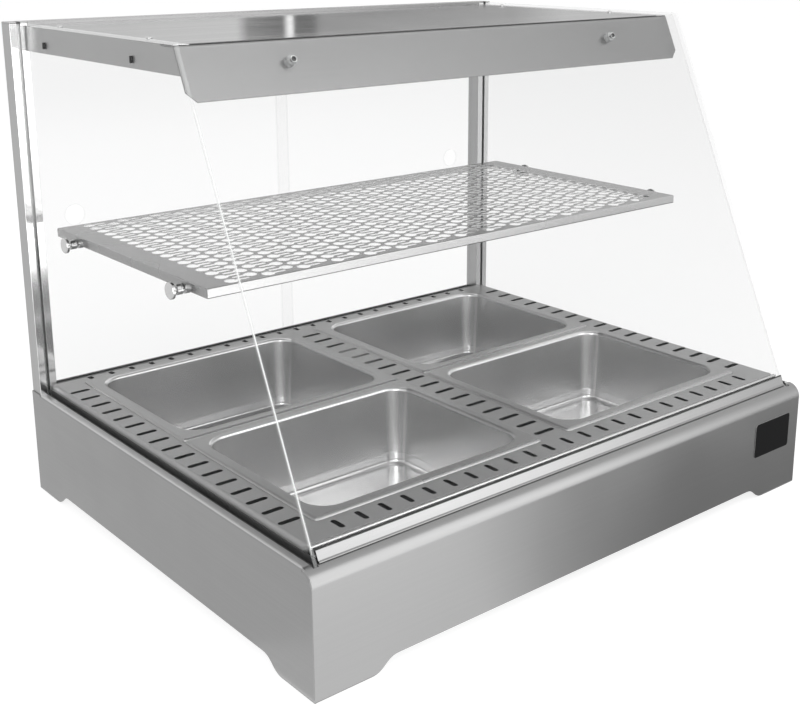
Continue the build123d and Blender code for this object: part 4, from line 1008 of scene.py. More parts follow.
@dataclass
class Deck:
    """The deck: a folded sheet with slots and pan holes.

    Rows of slots are given by their Y and the slots' length, columns by their X and the slots' length.
    """

    shop: Workshop
    sheet: float = 0.0006
    edge: float = 0.005
    edge_steps: int = 6
    front_edge: float = 0.0012
    hole_edge: float = 0.00012
    front_corner: float = 0.010
    rear_corner: float = 0.0055
    corner_steps: int = 8
    rail_gap: float = 0.0015
    skirt_cut: float = 0.0143
    lip_clear: float = 0.001
    lip_corner: float = 0.0004
    lip_edge: float = 0.0002
    slot_pitch: float = 0.030
    slot_width: float = 0.0066
    column_slot_width: float = 0.0073
    slot_round: float = 0.499
    slot_rows: Pairs = ((-0.26965, 0.021), (0.2870, 0.013))
    slot_columns: Pairs = ((-0.36375, 0.026), (0.0, 0.031), (0.36375, 0.026))
    row_count: int = 23
    column_count: int = 17
    column_first: float = -0.233
    hole_half: Pair = (0.151, 0.1205)
    hole_corner: float = 0.028

    def __post_init__(self) -> None:
        """Take the places from the frame."""
        self.side, self.rear, self.top = high("deck_plate")
        self.half = low("side_seal_right")[0]
        self.front = high("front_glass_rail")[1] + self.rail_gap
        self.lip = low("side_seal_left")[2]
        self.ledge = high("base_front_panel")[2]

    def obround(self, x: float, y: float, length: float, deep: bool) -> Array:
        """Loop of one slot.

        Args:
            x: its middle in X.
            y: its middle in Y.
            length: its length.
            deep: whether it is long in Y; elsewhere it is long in X.

        Returns:
            The loop (n, 2).
        """
        wide = self.slot_width if deep else self.column_slot_width
        halves = (wide / 2, length / 2) if deep else (length / 2, wide / 2)
        return box_outline(*halves, wide * self.slot_round, steps=5, centre=(x, y))

    def holes(self) -> list[Array]:
        """Loops of all slots and pan holes.

        Returns:
            The loops, each (n, 2).
        """
        across = (np.arange(self.row_count) - (self.row_count - 1) / 2) * self.slot_pitch
        along = self.column_first + np.arange(self.column_count) * self.slot_pitch
        loops = [self.obround(x, y, length, True) for y, length in self.slot_rows for x in across]
        loops += [self.obround(x, y, length, False) for x, length in self.slot_columns for y in along]
        loops += [box_outline(*self.hole_half, self.hole_corner, self.corner_steps, extent(name)[0][:2])
                  for name in PANS]
        return loops

    def deck_plate(self) -> None:
        """Deck: a punched sheet whose border turns down by a quarter round into a skirt, and the lips."""
        middle, deep = (self.front + self.rear) / 2, (self.rear - self.front) / 2
        corners = [self.front_corner] * 2 + [self.rear_corner] * 2
        border = box_outline(self.half, deep, corners, self.corner_steps, (0.0, middle))
        away = np.clip((border[:, 1:] - self.front) / self.front_corner, 0.0, 1.0)
        edge = self.front_edge + (self.edge - self.front_edge) * away
        under, small = self.top - self.sheet, edge - self.sheet
        inwards, down = quarter(1.0, self.edge_steps)
        skin = Skin()
        skin.punched(Plane.level(under), inset(border, edge), self.holes(), self.sheet, self.hole_edge,
                     wall=False)
        foot = np.where(border[:, 1:] < self.front + self.skirt_cut, self.ledge, self.lip)
        rings = [LEVEL.lift(inset(border, d * edge), self.top - h * edge) for d, h in zip(inwards, down)]
        rings += [LEVEL.lift(border, foot), LEVEL.lift(inset(border, self.sheet), foot)]
        rings += [LEVEL.lift(inset(border, self.sheet + d * small), under - h * small)
                  for d, h in zip(inwards[::-1], down[::-1])]
        marks = np.zeros((len(rings) - 1, len(border)), int)
        marks[:self.edge_steps, border[:, 1] < self.front + self.front_edge] = 1
        skin.rings(np.stack(rings), caps=False, mark=marks)
        lip_half = (self.side - self.half) / 2 + self.sheet / 2
        for _, hand in SIDES:
            at = (hand * (self.half + self.side) / 2, middle)
            lip = box_outline(lip_half, deep - self.lip_clear, self.lip_corner, steps=1, centre=at)
            skin.plate(Plane.level(self.lip - self.sheet), lip, self.sheet, self.lip_edge)
        self.shop.place(skin, "deck", ["deck_steel", "deck_edge_steel"], "deck_plate")

    def build(self) -> None:
        """Make the deck."""
        self.deck_plate()


@dataclass
class Pans:
    """The four pans that hang in the deck.

    A painted highlight streak in a pan's far corner has a strength, and a place and a width in shares of that
    corner's arc.
    """

    shop: Workshop
    sheet: float = 0.001
    opening: Pair = (0.146, 0.1155)
    corner: float = 0.028
    corner_steps: int = 12
    rim_corner: float = 0.007
    rim_roll: float = 0.0042
    rim_rise: float = 0.0024
    rim_points: int = 7
    rim_under: Pairs = ((0.0004, 0.0), (0.0012, 0.0004))
    lip: float = 0.004
    lip_points: int = 9
    lip_end: float = 1.2
    taper: float = math.radians(4.0)
    bead_drop: float = 0.084
    bead_step: float = 0.0010
    bead_round: float = 0.0004
    bead_points: int = 5
    depth: float = 0.100
    floor_round: float = 0.0065
    floor_rows: int = 6
    floor_steps: Pair = (0.055, 0.02)
    under_step: float = 0.04
    crown: float = 0.0006
    # columns of the far lip and of the front roll that get a painted highlight
    lip_highlight: tuple[int, int] = (3, 8)
    front_roll: int = 7
    # painted highlight streaks in each far corner: strength, place and width
    streaks: tuple[Triple, ...] = ((1.0, 0.68, 0.16), (0.45, 0.25, 0.05))

    STEELS = ("pan_steel", "pan_rim_steel", "pan_lip_highlight_steel", "pan_floor_steel", "pan_roll_highlight_steel")
    RIM, BRIGHT, FLOOR, ROLL = 1, 2, 3, 4

    def __post_init__(self) -> None:
        """Take the deck's height from the frame."""
        self.top = high("deck_plate")[2]

    def section(self) -> Array:
        """Section of a pan's inside: a quarter-round lip, a leaning wall, the bead's two rounds and the cove.

        Returns:
            Array (n, 2) of how far in from the opening and how far under the deck, from lip to floor.
        """
        turn, bend = quarter_turn(self.lip_points), quarter_turn(self.bead_points)
        lean = math.tan(self.taper)
        drop, small, cove = self.bead_drop, self.bead_round, self.floor_round
        shoulder = drop * lean
        foot = shoulder + self.bead_step
        floor = self.depth - self.sheet
        return np.vstack([
            np.c_[self.lip * (np.sin(turn) - 1), self.lip * (1 - np.cos(turn)) - self.rim_rise],
            (self.lip * lean, self.lip * self.lip_end),
            (shoulder / 2, drop / 2),
            np.c_[shoulder + small * (1 - np.cos(bend)), drop - small * (1 - np.sin(bend))],
            np.c_[foot - small * (1 - np.sin(bend)), drop + small * (1 - np.cos(bend))],
            np.c_[foot + cove * (1 - np.cos(turn)), floor - cove * (1 - np.sin(turn))],
        ])

    def marks(self, inside: int, edge: int, rows: int) -> Array:
        """Finish numbers of a pan: its floor, its rim, and a painted highlight on the lip at the far corner
        and on the front roll.

        Args:
            inside: how many loops the hollow has.
            edge: how many the rim's roll has.
            rows: how many rows of faces there are.

        Returns:
            Array (rows, points of a loop).
        """
        corner = self.corner_steps + 1
        lip, roll = inside - self.lip_points, inside + edge
        first, last = self.lip_highlight
        marks = np.zeros((rows, 4 * corner), int)
        marks[lip:roll] = self.RIM
        # painted highlight on the far lip and on the front of the rim's roll
        marks[lip:inside - 1, 2 * corner + first:3 * corner + last] = self.BRIGHT
        marks[inside:roll - 1, corner - self.front_roll:corner] = self.ROLL
        marks[:self.floor_rows] = self.FLOOR
        return marks

    def press(self, name: str) -> None:
        """Pan: loops of a rounded rectangle carried down its section, and up again one sheet outside.

        Args:
            name: the pan's node.
        """
        (x, y, _), half = extent(name)
        section = self.section()
        floor_in, floor_down = section[-1]

        def loop(inwards: float, down: float) -> Array:
            """Loop of the hollow at one point of its section."""
            sizes = np.array([*self.opening, self.corner]) - inwards
            return LEVEL.lift(box_outline(*sizes, self.corner_steps, (x, y)), self.top - down)

        far, near = self.floor_steps
        inside = [loop(floor_in + far, floor_down - self.crown),
                  loop(floor_in + near, floor_down - self.crown / 2)]
        inside += [loop(*point) for point in section[::-1]]
        rim = box_outline(half[0], half[1], self.rim_corner, self.corner_steps, (x, y))
        roll = quarter_turn(self.rim_points)
        roll_in, roll_up = self.rim_roll * (1 - np.sin(roll)), self.rim_rise * np.cos(roll)
        edge = [LEVEL.lift(inset(rim, d), self.top + h) for d, h in zip(roll_in, roll_up)]
        under = [LEVEL.lift(inset(rim, inwards), self.top + up) for inwards, up in self.rim_under]
        outside = [loop(*(point + (-self.sheet, self.sheet))) for point in section]
        outside.append(loop(floor_in + self.under_step, floor_down + self.sheet))
        rings = np.stack(inside + edge + under + outside)
        # painted highlight: a lighter tone along each pan's far corner, the same on every loop
        corner = self.corner_steps + 1
        part = (np.arange(4 * corner) - 2 * corner) / self.corner_steps
        painted_highlight = sum(strength * np.exp(-((part - at) / wide) ** 2) for strength, at, wide in self.streaks)
        skin = Skin()
        skin.rings(rings, mark=self.marks(len(inside), len(edge), len(rings) - 1), cap_mark=self.FLOOR)
        skin.painted_highlight = np.tile(painted_highlight, len(rings))
        self.shop.place(skin, f"{name}_pressed", list(self.STEELS), name)

    def build(self) -> None:
        """Make the pans."""
        for name in PANS:
            self.press(name)


@dataclass
class Glazing:
    """Front glass in its rail, the two side glasses and their seals."""

    shop: Workshop
    tilt: float = math.radians(24.5)
    setback: float = 0.0246
    front_corner: float = 0.0015
    front_arris: float = 0.0009
    plain_edge: float = 0.066
    corner_steps: int = 3
    hole: float = 0.0028
    hole_steps: int = 20
    screw_x: float = 0.250
    screw_drop: float = 0.024
    side_lead: float = 0.0067
    side_corner: float = 0.002
    side_arris: float = 0.0005
    stud_hole: float = 0.0033
    seal_rise: float = 0.0045
    seal_stand: float = 0.0004
    seal_gap: float = 0.0001
    seal_start: float = 0.004
    seal_corner: float = 0.0004
    seal_edge: float = 0.0002
    rail_seal: float = 0.0015
    rail_wall: float = 0.0018
    rail_clear: float = 0.0003
    rail_floor: float = 0.004
    rail_toe: float = 0.002
    rail_toe_height: float = 0.0012
    rail_step: float = 0.002
    rail_lip_drop: float = 0.0003
    rail_reach: float = 0.0022
    rail_shelf_drop: float = 0.0004
    rail_round_steps: int = 4
    rail_end: float = 0.0001

    def __post_init__(self) -> None:
        """Take the places from the frame."""
        self.deck = high("front_glass_rail")[2]
        self.ledge = low("front_glass_rail")[2]
        self.foot = np.array([0.0, low("base_front_panel")[1] + self.setback, self.deck])
        self.rise = np.array([0.0, math.sin(self.tilt), math.cos(self.tilt)])
        self.plane = Plane(self.foot, X_AXIS, self.rise)
        half_edge = GLASS / 2 * math.sin(self.tilt)
        self.bottom = (low("front_glass")[2] + half_edge - self.deck) / math.cos(self.tilt)
        self.top = (high("front_glass")[2] - half_edge - self.deck) / math.cos(self.tilt)

    def line(self, height: float, offset: float) -> float:
        """Y at a height on a line parallel to the front glass, offset to the rear of its middle."""
        return self.foot[1] + (height - self.deck) * math.tan(self.tilt) + offset / math.cos(self.tilt)

    def spot(self, along: float, behind: float) -> Array:
        """(Y, Z) of a place along the front glass's slope and behind its middle."""
        _, sine, cosine = self.rise
        return self.foot[1:] + along * self.rise[1:] + behind * np.array([cosine, -sine])

    def reach(self, height: float, behind: float) -> float:
        """How far along the slope a line behind the front glass reaches a height."""
        return (height - self.deck + behind * math.sin(self.tilt)) / math.cos(self.tilt)

    def front_glass(self) -> None:
        """Sloping pane with two screw holes; its side edges are ground up to the fascia, plain beside it."""
        half = high("front_glass")[0]
        corners = [(-half, self.bottom), (half, self.bottom), (half, self.top), (-half, self.top)]
        arcs = rounded(corners, self.front_corner, self.corner_steps).reshape(4, -1, 2)
        break_at = self.top - self.plain_edge
        outline = np.vstack([*arcs[:2], (half, break_at), *arcs[2:], (-half, break_at)])
        per = len(arcs[0])
        lower, right, upper, left = per - 1, 2 * per, 3 * per, 4 * per
        holes = [circle_outline(self.hole, self.hole_steps, (x, self.top - self.screw_drop))
                 for x in (-self.screw_x, self.screw_x)]
        back = Plane(self.foot - self.plane.out * GLASS / 2, X_AXIS, self.rise)
        skin = Skin()
        skin.punched(back, outline, holes, GLASS, self.front_arris, edge_marks=(1, 2),
                     plain=[lower, right, upper, left])
        self.shop.place(skin, "front_pane", ["glass", "glass_edge", "glass_arris"], "front_glass")

    def side_glass(self, name: str) -> None:
        """Upright pane whose front edge follows the front glass, with two stud holes.

        Args:
            name: which side.
        """
        node = f"side_glass_{name}"
        (x, _, foot), (_, rear, top) = low(node), high(node)
        corners = [(self.line(foot, -self.side_lead), foot), (rear, foot), (rear, top),
                   (self.line(top, -self.side_lead), top)]
        stud_z = high("shelf_studs")[2] - Shelf.STUD_RADIUS
        holes = [circle_outline(self.stud_hole, self.hole_steps, (y, stud_z)) for y in Shelf.stud_rows()]
        skin = Skin()
        skin.punched(Plane.facing_right(x), rounded(corners, self.side_corner, self.corner_steps), holes,
                     GLASS, self.side_arris, edge_marks=(1, 1))
        self.shop.place(skin, f"side_pane_{name}", ["glass", "glass_edge"], node)

    def side_seal(self, name: str, hand: int) -> None:
        """Channel seal of a side glass: a U section whose inner leg stands against the deck, carried along Y.

        Args:
            name: which side.
            hand: -1 on the left, 1 on the right.
        """
        node, glass = f"side_seal_{name}", f"side_glass_{name}"
        (x0, front, foot), (x1, rear, _) = low(node), high(node)
        groove_left, groove_right = low(glass)[0] - self.seal_gap, high(glass)[0] + self.seal_gap
        floor = low(glass)[2] - self.seal_gap
        legs = (self.ledge + self.seal_stand, self.ledge + self.seal_rise)
        left, right = legs[::-hand]
        corners = [(x0, foot), (x1, foot), (x1, right), (groove_right, right), (groove_right, floor),
                   (groove_left, floor), (groove_left, left), (x0, left)]
        skin = Skin()
        skin.plate(Plane.facing_front(0, rear, 0), rounded(corners, self.seal_corner, self.corner_steps),
                   rear - front - self.seal_start, self.seal_edge, steps=1)
        self.shop.place(skin, f"channel_seal_{name}", ["seal_rubber"], node)

    def rail(self) -> None:
        """Rail of the front glass: a toe, an upright face, the glass groove and a rear wall, along X.

        The section's points are (Y, Z, radius), and the top of its rear wall carries a painted highlight.
        """
        start, (_, wall, _) = low("front_glass_rail")[0], high("front_glass_rail")
        foot, deck = self.ledge, self.deck
        step, lip = foot + self.rail_step, deck - self.rail_lip_drop
        groove, shelf = foot + self.rail_floor, deck - self.rail_shelf_drop
        seal, clear = -(GLASS / 2 + self.rail_seal), GLASS / 2 + self.rail_clear
        face = seal - self.rail_wall
        toe, rear = self.line(step, face) - self.rail_toe, wall + self.rail_reach
        section = np.array([
            (toe, foot, 0.0002), (rear, foot, 0.0003), (rear, shelf, 0.0003), (wall, shelf, 0.0001),
            (wall, deck, 0.0005), (self.line(deck, clear), deck, 0.0005),
            (self.line(groove, clear), groove, 0.0002), (self.line(groove, seal), groove, 0.0002),
            (self.line(lip, seal), lip, 0.0004), (self.line(lip, face), lip, 0.0006),
            (self.line(step, face), step, 0.0008), (toe, foot + self.rail_toe_height, 0.0004)])
        # painted highlight along the top of the rear wall
        wall_top = slice(4, 6)
        bright = np.zeros((len(section), self.rail_round_steps + 1), int)
        bright[wall_top] = 1
        outline = rounded(section[:, :2], section[:, 2], self.rail_round_steps)
        skin = Skin()
        skin.plate(Plane.facing_right(start), outline, -2 * start, self.rail_end, steps=2,
                   edge_mark=bright.ravel())
        self.shop.place(skin, "glass_rail", ["rail_aluminium", "painted_highlight_aluminium"], "front_glass_rail")

    def build(self) -> None:
        """Make the panes, their seals and the rail."""
        self.front_glass()
        for name, hand in SIDES:
            self.side_glass(name)
            self.side_seal(name, hand)
        self.rail()
        self.shop.dress("rubber", "front_glass_seal")


@dataclass
class SocketScrew:
    """Dome-headed screw with a six-sided socket.

    The dome's radius falls as the cosine of a turn while its height grows as the sine, and the socket's wall
    lies at the key's half width divided by the cosine of the angle to the nearest flat. Key and foot are
    shares of the radius, the brim is a share of the height, and the socket's pairs are shares of its wall's
    radius and of the height.
    """

    radius: float
    height: float
    shank: float
    length: float
    shank_steps: int
    key: float = 0.42
    foot: float = 0.97
    brim: float = 0.2
    dome_turn: float = math.radians(62)
    dome_points: int = 7
    socket: Pairs = ((1.08, 1.0), (1.0, 0.93), (0.98, 0.45))
    steps: int = 36

    def cut(self, skin: Skin, base: Array, axis: Array) -> None:
        """Turn the head and its shank.

        Args:
            skin: mesh that takes the screw in.
            base: middle of the face under the head.
            axis: direction of the head.
        """
        sixth = math.pi / 3
        from_flat = (full_turn(self.steps) + sixth / 2) % sixth - sixth / 2
        flats = (self.key * self.radius / np.cos(from_flat))[:, None]
        turn = np.linspace(0, self.dome_turn, self.dome_points)
        up = self.height * (self.brim + (1 - self.brim) * np.sin(turn) / math.sin(self.dome_turn))
        profile = [(self.radius * self.foot, 0.0), *zip(self.radius * np.cos(turn), up)]
        profile += [(flats * wide, self.height * far) for wide, far in self.socket]
        skin.turned(base, axis, profile, self.steps, cap_mark=1)
        skin.turned(base, -axis, [(self.shank, 0.0), (self.shank, self.length)], self.shank_steps)


@dataclass
class Roof:
    """The roof: folded fascia, flat cap with its edge strips, bumpers and the screws."""

    shop: Workshop
    glazing: Glazing
    sheet: float = 0.0015
    offset: float = 0.009
    length: float = 0.0604
    chamfer: float = 0.011
    flange: float = 0.026
    fold: float = 0.0034
    fold_points: int = 9
    # stretch of the fascia's outer line painted with shade
    painted_shade_fold: tuple[int, int] = (8, 10)
    end_round: float = 0.0005
    cap_sheet: float = 0.0010
    cap_round: float = 0.0004
    cap_corner: float = 0.0005
    strip_width: float = 0.0185
    bumper: Pair = (0.0012, 0.0039)
    bumper_round: float = 0.8
    bumper_edge: float = 0.0003
    bumper_inset: float = 0.002
    screw_head: float = 0.0012
    screw_radius: float = 0.0030
    shank_radius: float = 0.0014
    shank_length: float = 0.0175
    roof_screw_radius: float = 0.0036
    roof_screw_inset: float = 0.0042
    roof_shank_radius: float = 0.002

    def fold_line(self, first: Array, tip: Array, last: Array, radius: float) -> Array:
        """Line of one face of the fascia: up to a fold, round it and on.

        The fold's middle lies on the bisector at radius / sin(half the angle), and its points are those of
        the chord, evenly spaced, pushed out to the radius.

        Args:
            first: where the line starts (Y, Z).
            tip: where its two straight parts would meet.
            last: where it ends.
            radius: radius of the fold.

        Returns:
            Array (n, 2).
        """
        back, ahead = unit(first - tip), unit(last - tip)
        half_angle = math.acos(float(back @ ahead)) / 2
        near = radius / math.tan(half_angle)
        middle = tip + unit(back + ahead) * radius / math.sin(half_angle)
        part = np.linspace(0, 1, self.fold_points)[:, None]
        chord = (tip + back * near - middle) * (1 - part) + (tip + ahead * near - middle) * part
        return np.vstack([first, middle + unit(chord) * radius, last])

    def fascia(self) -> None:
        """Fascia: a folded section carried along X, its ends rounded and its lower corners cut off there."""
        glazing = self.glazing
        half, _, roof = high("roof_fascia")
        top = glazing.reach(roof, self.offset)
        rear = glazing.spot(top, self.offset)[0] + self.flange
        lines = []
        for depth in (0.0, self.sheet):
            behind, level = self.offset + depth, roof - depth
            tip = glazing.spot(glazing.reach(level, behind), behind)
            foot = glazing.spot(top - self.length, behind)
            lines.append(self.fold_line(foot, tip, np.array([rear, level]), self.fold - depth))
        round_in, round_up = quarter(self.end_round, steps=3)
        places = np.r_[-half + round_up, -half + self.chamfer, half - self.chamfer, half - round_up[::-1]]
        sunk = np.r_[round_in, 0.0, 0.0, round_in[::-1]]
        raised = np.zeros((len(places), *lines[0].shape))
        raised[:, 0] = np.clip(self.chamfer - (half - np.abs(places)), 0.0, None)[:, None] * glazing.rise[1:]
        faces = (sunk_lines(*lines, sunk) + raised, lines[1] + raised)
        skin = Skin()
        # the end of the fold and the flat behind it get the darkest steel: painted shade along the roof's
        # front edge
        skin.folded(*(along_x(places, face) for face in faces), bright=slice(*self.painted_shade_fold))
        self.shop.place(skin, "fascia", ["fascia_steel", "roof_edge_steel"], "roof_fascia")

    def cap(self) -> None:
        """Flat roof sheet that lies on the rails between two bright edge strips."""
        (_, middle, _), half = extent("roof_cap")
        plane = Plane.level(low("roof_cap")[2])
        wide = half[0] - self.strip_width
        skin = Skin()
        # the roof sheet's edges get the darkest steel: painted shade along the recess
        for centre, half_x, marks in ((0.0, wide, {"edge_mark": 1}),
                                      (-wide - self.strip_width / 2, self.strip_width / 2, {"mark": 2}),
                                      (wide + self.strip_width / 2, self.strip_width / 2, {"mark": 2})):
            outline = box_outline(half_x, half[1], self.cap_corner, steps=2, centre=(centre, middle))
            skin.plate(plane, outline, self.cap_sheet, self.cap_round, **marks)
        self.shop.place(skin, "roof_sheet", ["roof_steel", "roof_edge_steel", "roof_strip_steel"], "roof_cap")

    def bumpers(self) -> None:
        """Narrow rubber bumpers that stand out of the rails' slots."""
        lowest, highest = low("side_glass_bumpers"), high("side_glass_bumpers")
        start = high("roof_cap")[0] - self.sheet
        height = (lowest[2] + highest[2]) / 2
        outline = box_outline(*self.bumper, self.bumper[0] * self.bumper_round, steps=5)
        skin = Skin()
        for _, hand in SIDES:
            for y in (lowest[1] + self.bumper_inset, highest[1] - self.bumper_inset):
                plane = Plane(np.array([hand * start, y, height]), hand * Y_AXIS, Z_AXIS)
                skin.plate(plane, outline, highest[0] - start, self.bumper_edge)
        self.shop.place(skin, "bumpers", ["rubber"], "side_glass_bumpers")

    def glass_screws(self) -> None:
        """Two screws in the front glass."""
        glazing = self.glazing
        screw = SocketScrew(self.screw_radius, self.screw_head, self.shank_radius, self.shank_length,
                            shank_steps=20)
        skin = Skin()
        for x in (-glazing.screw_x, glazing.screw_x):
            at = glazing.plane.lift(np.array([x, glazing.top - glazing.screw_drop]), GLASS / 2)
            screw.cut(skin, at, glazing.plane.out)
        self.shop.place(skin, "glass_screw_heads", ["roof_edge_steel", "rubber"], "glass_screws")

    def roof_screws(self) -> None:
        """Four screws in the roof."""
        seat = low("roof_cap")[2] + self.cap_sheet
        head, length = high("roof_screws")[2] - high("roof_cap")[2], seat - low("roof_screws")[2]
        screw = SocketScrew(self.roof_screw_radius, head, self.roof_shank_radius, length, shank_steps=16)
        skin = Skin()
        for x, y in four_places("roof_screws", self.roof_screw_inset):
            screw.cut(skin, np.array([x, y, seat]), Z_AXIS)
        self.shop.place(skin, "roof_screw_heads", ["turned_steel", "rubber"], "roof_screws")

    def build(self) -> None:
        """Make the roof."""
        self.fascia()
        self.cap()
        self.bumpers()
        self.glass_screws()
        self.roof_screws()
        self.shop.dress("rail_steel", "roof_rail_left", "roof_rail_right")
        self.shop.dress("fascia_steel", "ceiling_panel")
        self.shop.dress("clear_plastic", "glass_spacers")
        self.shop.dress("zinc", "glass_nuts")


@dataclass
class Rear:
    """Uprights with their caps, the two door tracks and the sliding glass doors."""

    shop: Workshop
    groove: float = 0.0046
    groove_depth: float = 0.008
    groove_round: float = 0.0002
    mouth_round: float = 0.00028
    post_round: float = 0.0007
    post_end: float = 0.0003
    cap_edge: float = 0.0005
    track_groove: float = 0.0055
    track_depth: float = 0.008
    header_depth: float = 0.014
    track_round: float = 0.0005
    track_end: float = 0.0003
    arris: float = 0.0005
    door_corner: float = 0.003
    finger_hole: float = 0.0135
    finger_inset: float = 0.045
    finger_height: float = 0.371
    meeting_trim: float = 0.004

    def post_outline(self, name: str) -> Array:
        """Section of an upright: a rectangle with the side glass's groove in its front face.

        Args:
            name: which side.

        Returns:
            The outline (n, 2) in X and Y.
        """
        (x0, y0, _), (x1, y1, _) = low(f"upright_{name}"), high(f"upright_{name}")
        centre = extent(f"side_glass_{name}")[0][0]
        left, right, deep = centre - self.groove / 2, centre + self.groove / 2, y0 + self.groove_depth
        corners = [(x0, y0), (left, y0), (left, deep), (right, deep), (right, y0), (x1, y0), (x1, y1),
                   (x0, y1)]
        groove = [self.mouth_round, self.groove_round, self.groove_round, self.mouth_round]
        return rounded(corners, [self.post_round, *groove] + [self.post_round] * 3, steps=4)

    def posts(self) -> None:
        """Two grooved uprights and the plates on their tops; the left one has a mirror front."""
        caps = Skin()
        for name, hand in SIDES:
            node = f"upright_{name}"
            outline = self.post_outline(name)
            (x0, _, foot), (x1, _, top) = low(node), high(node)
            run = np.abs(np.roll(outline, -1, 0) - outline)
            sideways = (run[:, 1] > run[:, 0]).astype(int)
            inside = (outline[:, 0] > x0 + self.post_round) & (outline[:, 0] < x1 - self.post_round)
            polished = hand < 0
            # the left post's groove walls take the finish with painted shade
            sideways[inside & polished] *= 2
            skin = Skin()
            skin.plate(Plane.level(foot), outline, top - foot, self.post_end, steps=2,
                       edge_mark=sideways)
            face = "mirror_aluminium" if polished else "polished_aluminium"
            self.shop.place(skin, f"post_{name}", [face, "post_side_aluminium", "groove_aluminium"], node)
            caps.plate(Plane.level(top), outline, high("upright_caps")[2] - top, self.cap_edge, steps=2)
        self.shop.place(caps, "post_caps", ["post_side_aluminium"], "upright_caps")

    def track_outline(self, node: str, depth: float, upper: bool) -> Array:
        """Section of a track: a bar with two door grooves.

        Args:
            node: the track's node.
            depth: how deep the grooves are.
            upper: whether they are in its underside; elsewhere they are in its top.

        Returns:
            The outline (n, 2) in Y and Z.
        """
        (_, y0, z0), (_, y1, z1) = low(node), high(node)
        face, away = (z0, z1) if upper else (z1, z0)
        floor = face + depth if upper else face - depth
        grooves = [(extent(f"door_{name}")[0][1] + half, z) for name, _ in SIDES
                   for half, z in ((-self.track_groove / 2, face), (-self.track_groove / 2, floor),
                                   (self.track_groove / 2, floor), (self.track_groove / 2, face))]
        corners = [(y0, face), *grooves, (y1, face), (y1, away), (y0, away)]
        return rounded(corners if upper else corners[::-1], self.track_round, steps=3)

    def tracks(self) -> None:
        """Lower and upper door track, each a grooved section along X."""
        for node, name, depth, upper, finish in (
                ("door_track_bottom", "lower_track", self.track_depth, False, "dark_track"),
                ("door_track_top", "upper_track", self.header_depth, True, "rail_aluminium")):
            start = low(node)[0]
            outline = self.track_outline(node, depth, upper)
            skin = Skin()
            skin.plate(Plane.facing_right(start), outline, -2 * start, self.track_end, steps=2)
            self.shop.place(skin, name, [finish], node)

    def doors(self) -> None:
        """Two sliding panes, each with a finger hole and trimmed where it meets the other."""
        for name, hand in SIDES:
            node = f"door_{name}"
            lowest, highest = low(node), high(node)
            meeting, outer = (lowest, highest) if hand > 0 else (highest, lowest)
            meeting[0] += hand * self.meeting_trim
            middle, half = (lowest + highest) / 2, (highest - lowest) / 2
            finger = (outer[0] - hand * self.finger_inset, self.finger_height)
            hole = circle_outline(self.finger_hole, steps=40, centre=finger)
            outline = box_outline(half[0], half[2], self.door_corner, steps=5, centre=middle[::2])
            skin = Skin()
            skin.punched(Plane.facing_front(0, highest[1], 0), outline, [hole], GLASS, self.arris,
                         edge_marks=(1, 1))
            self.shop.place(skin, f"{node}_pane", ["door_glass", "door_edge"], node)

    def build(self) -> None:
        """Make everything at the rear of the hood."""
        self.posts()
        self.tracks()
        self.doors()


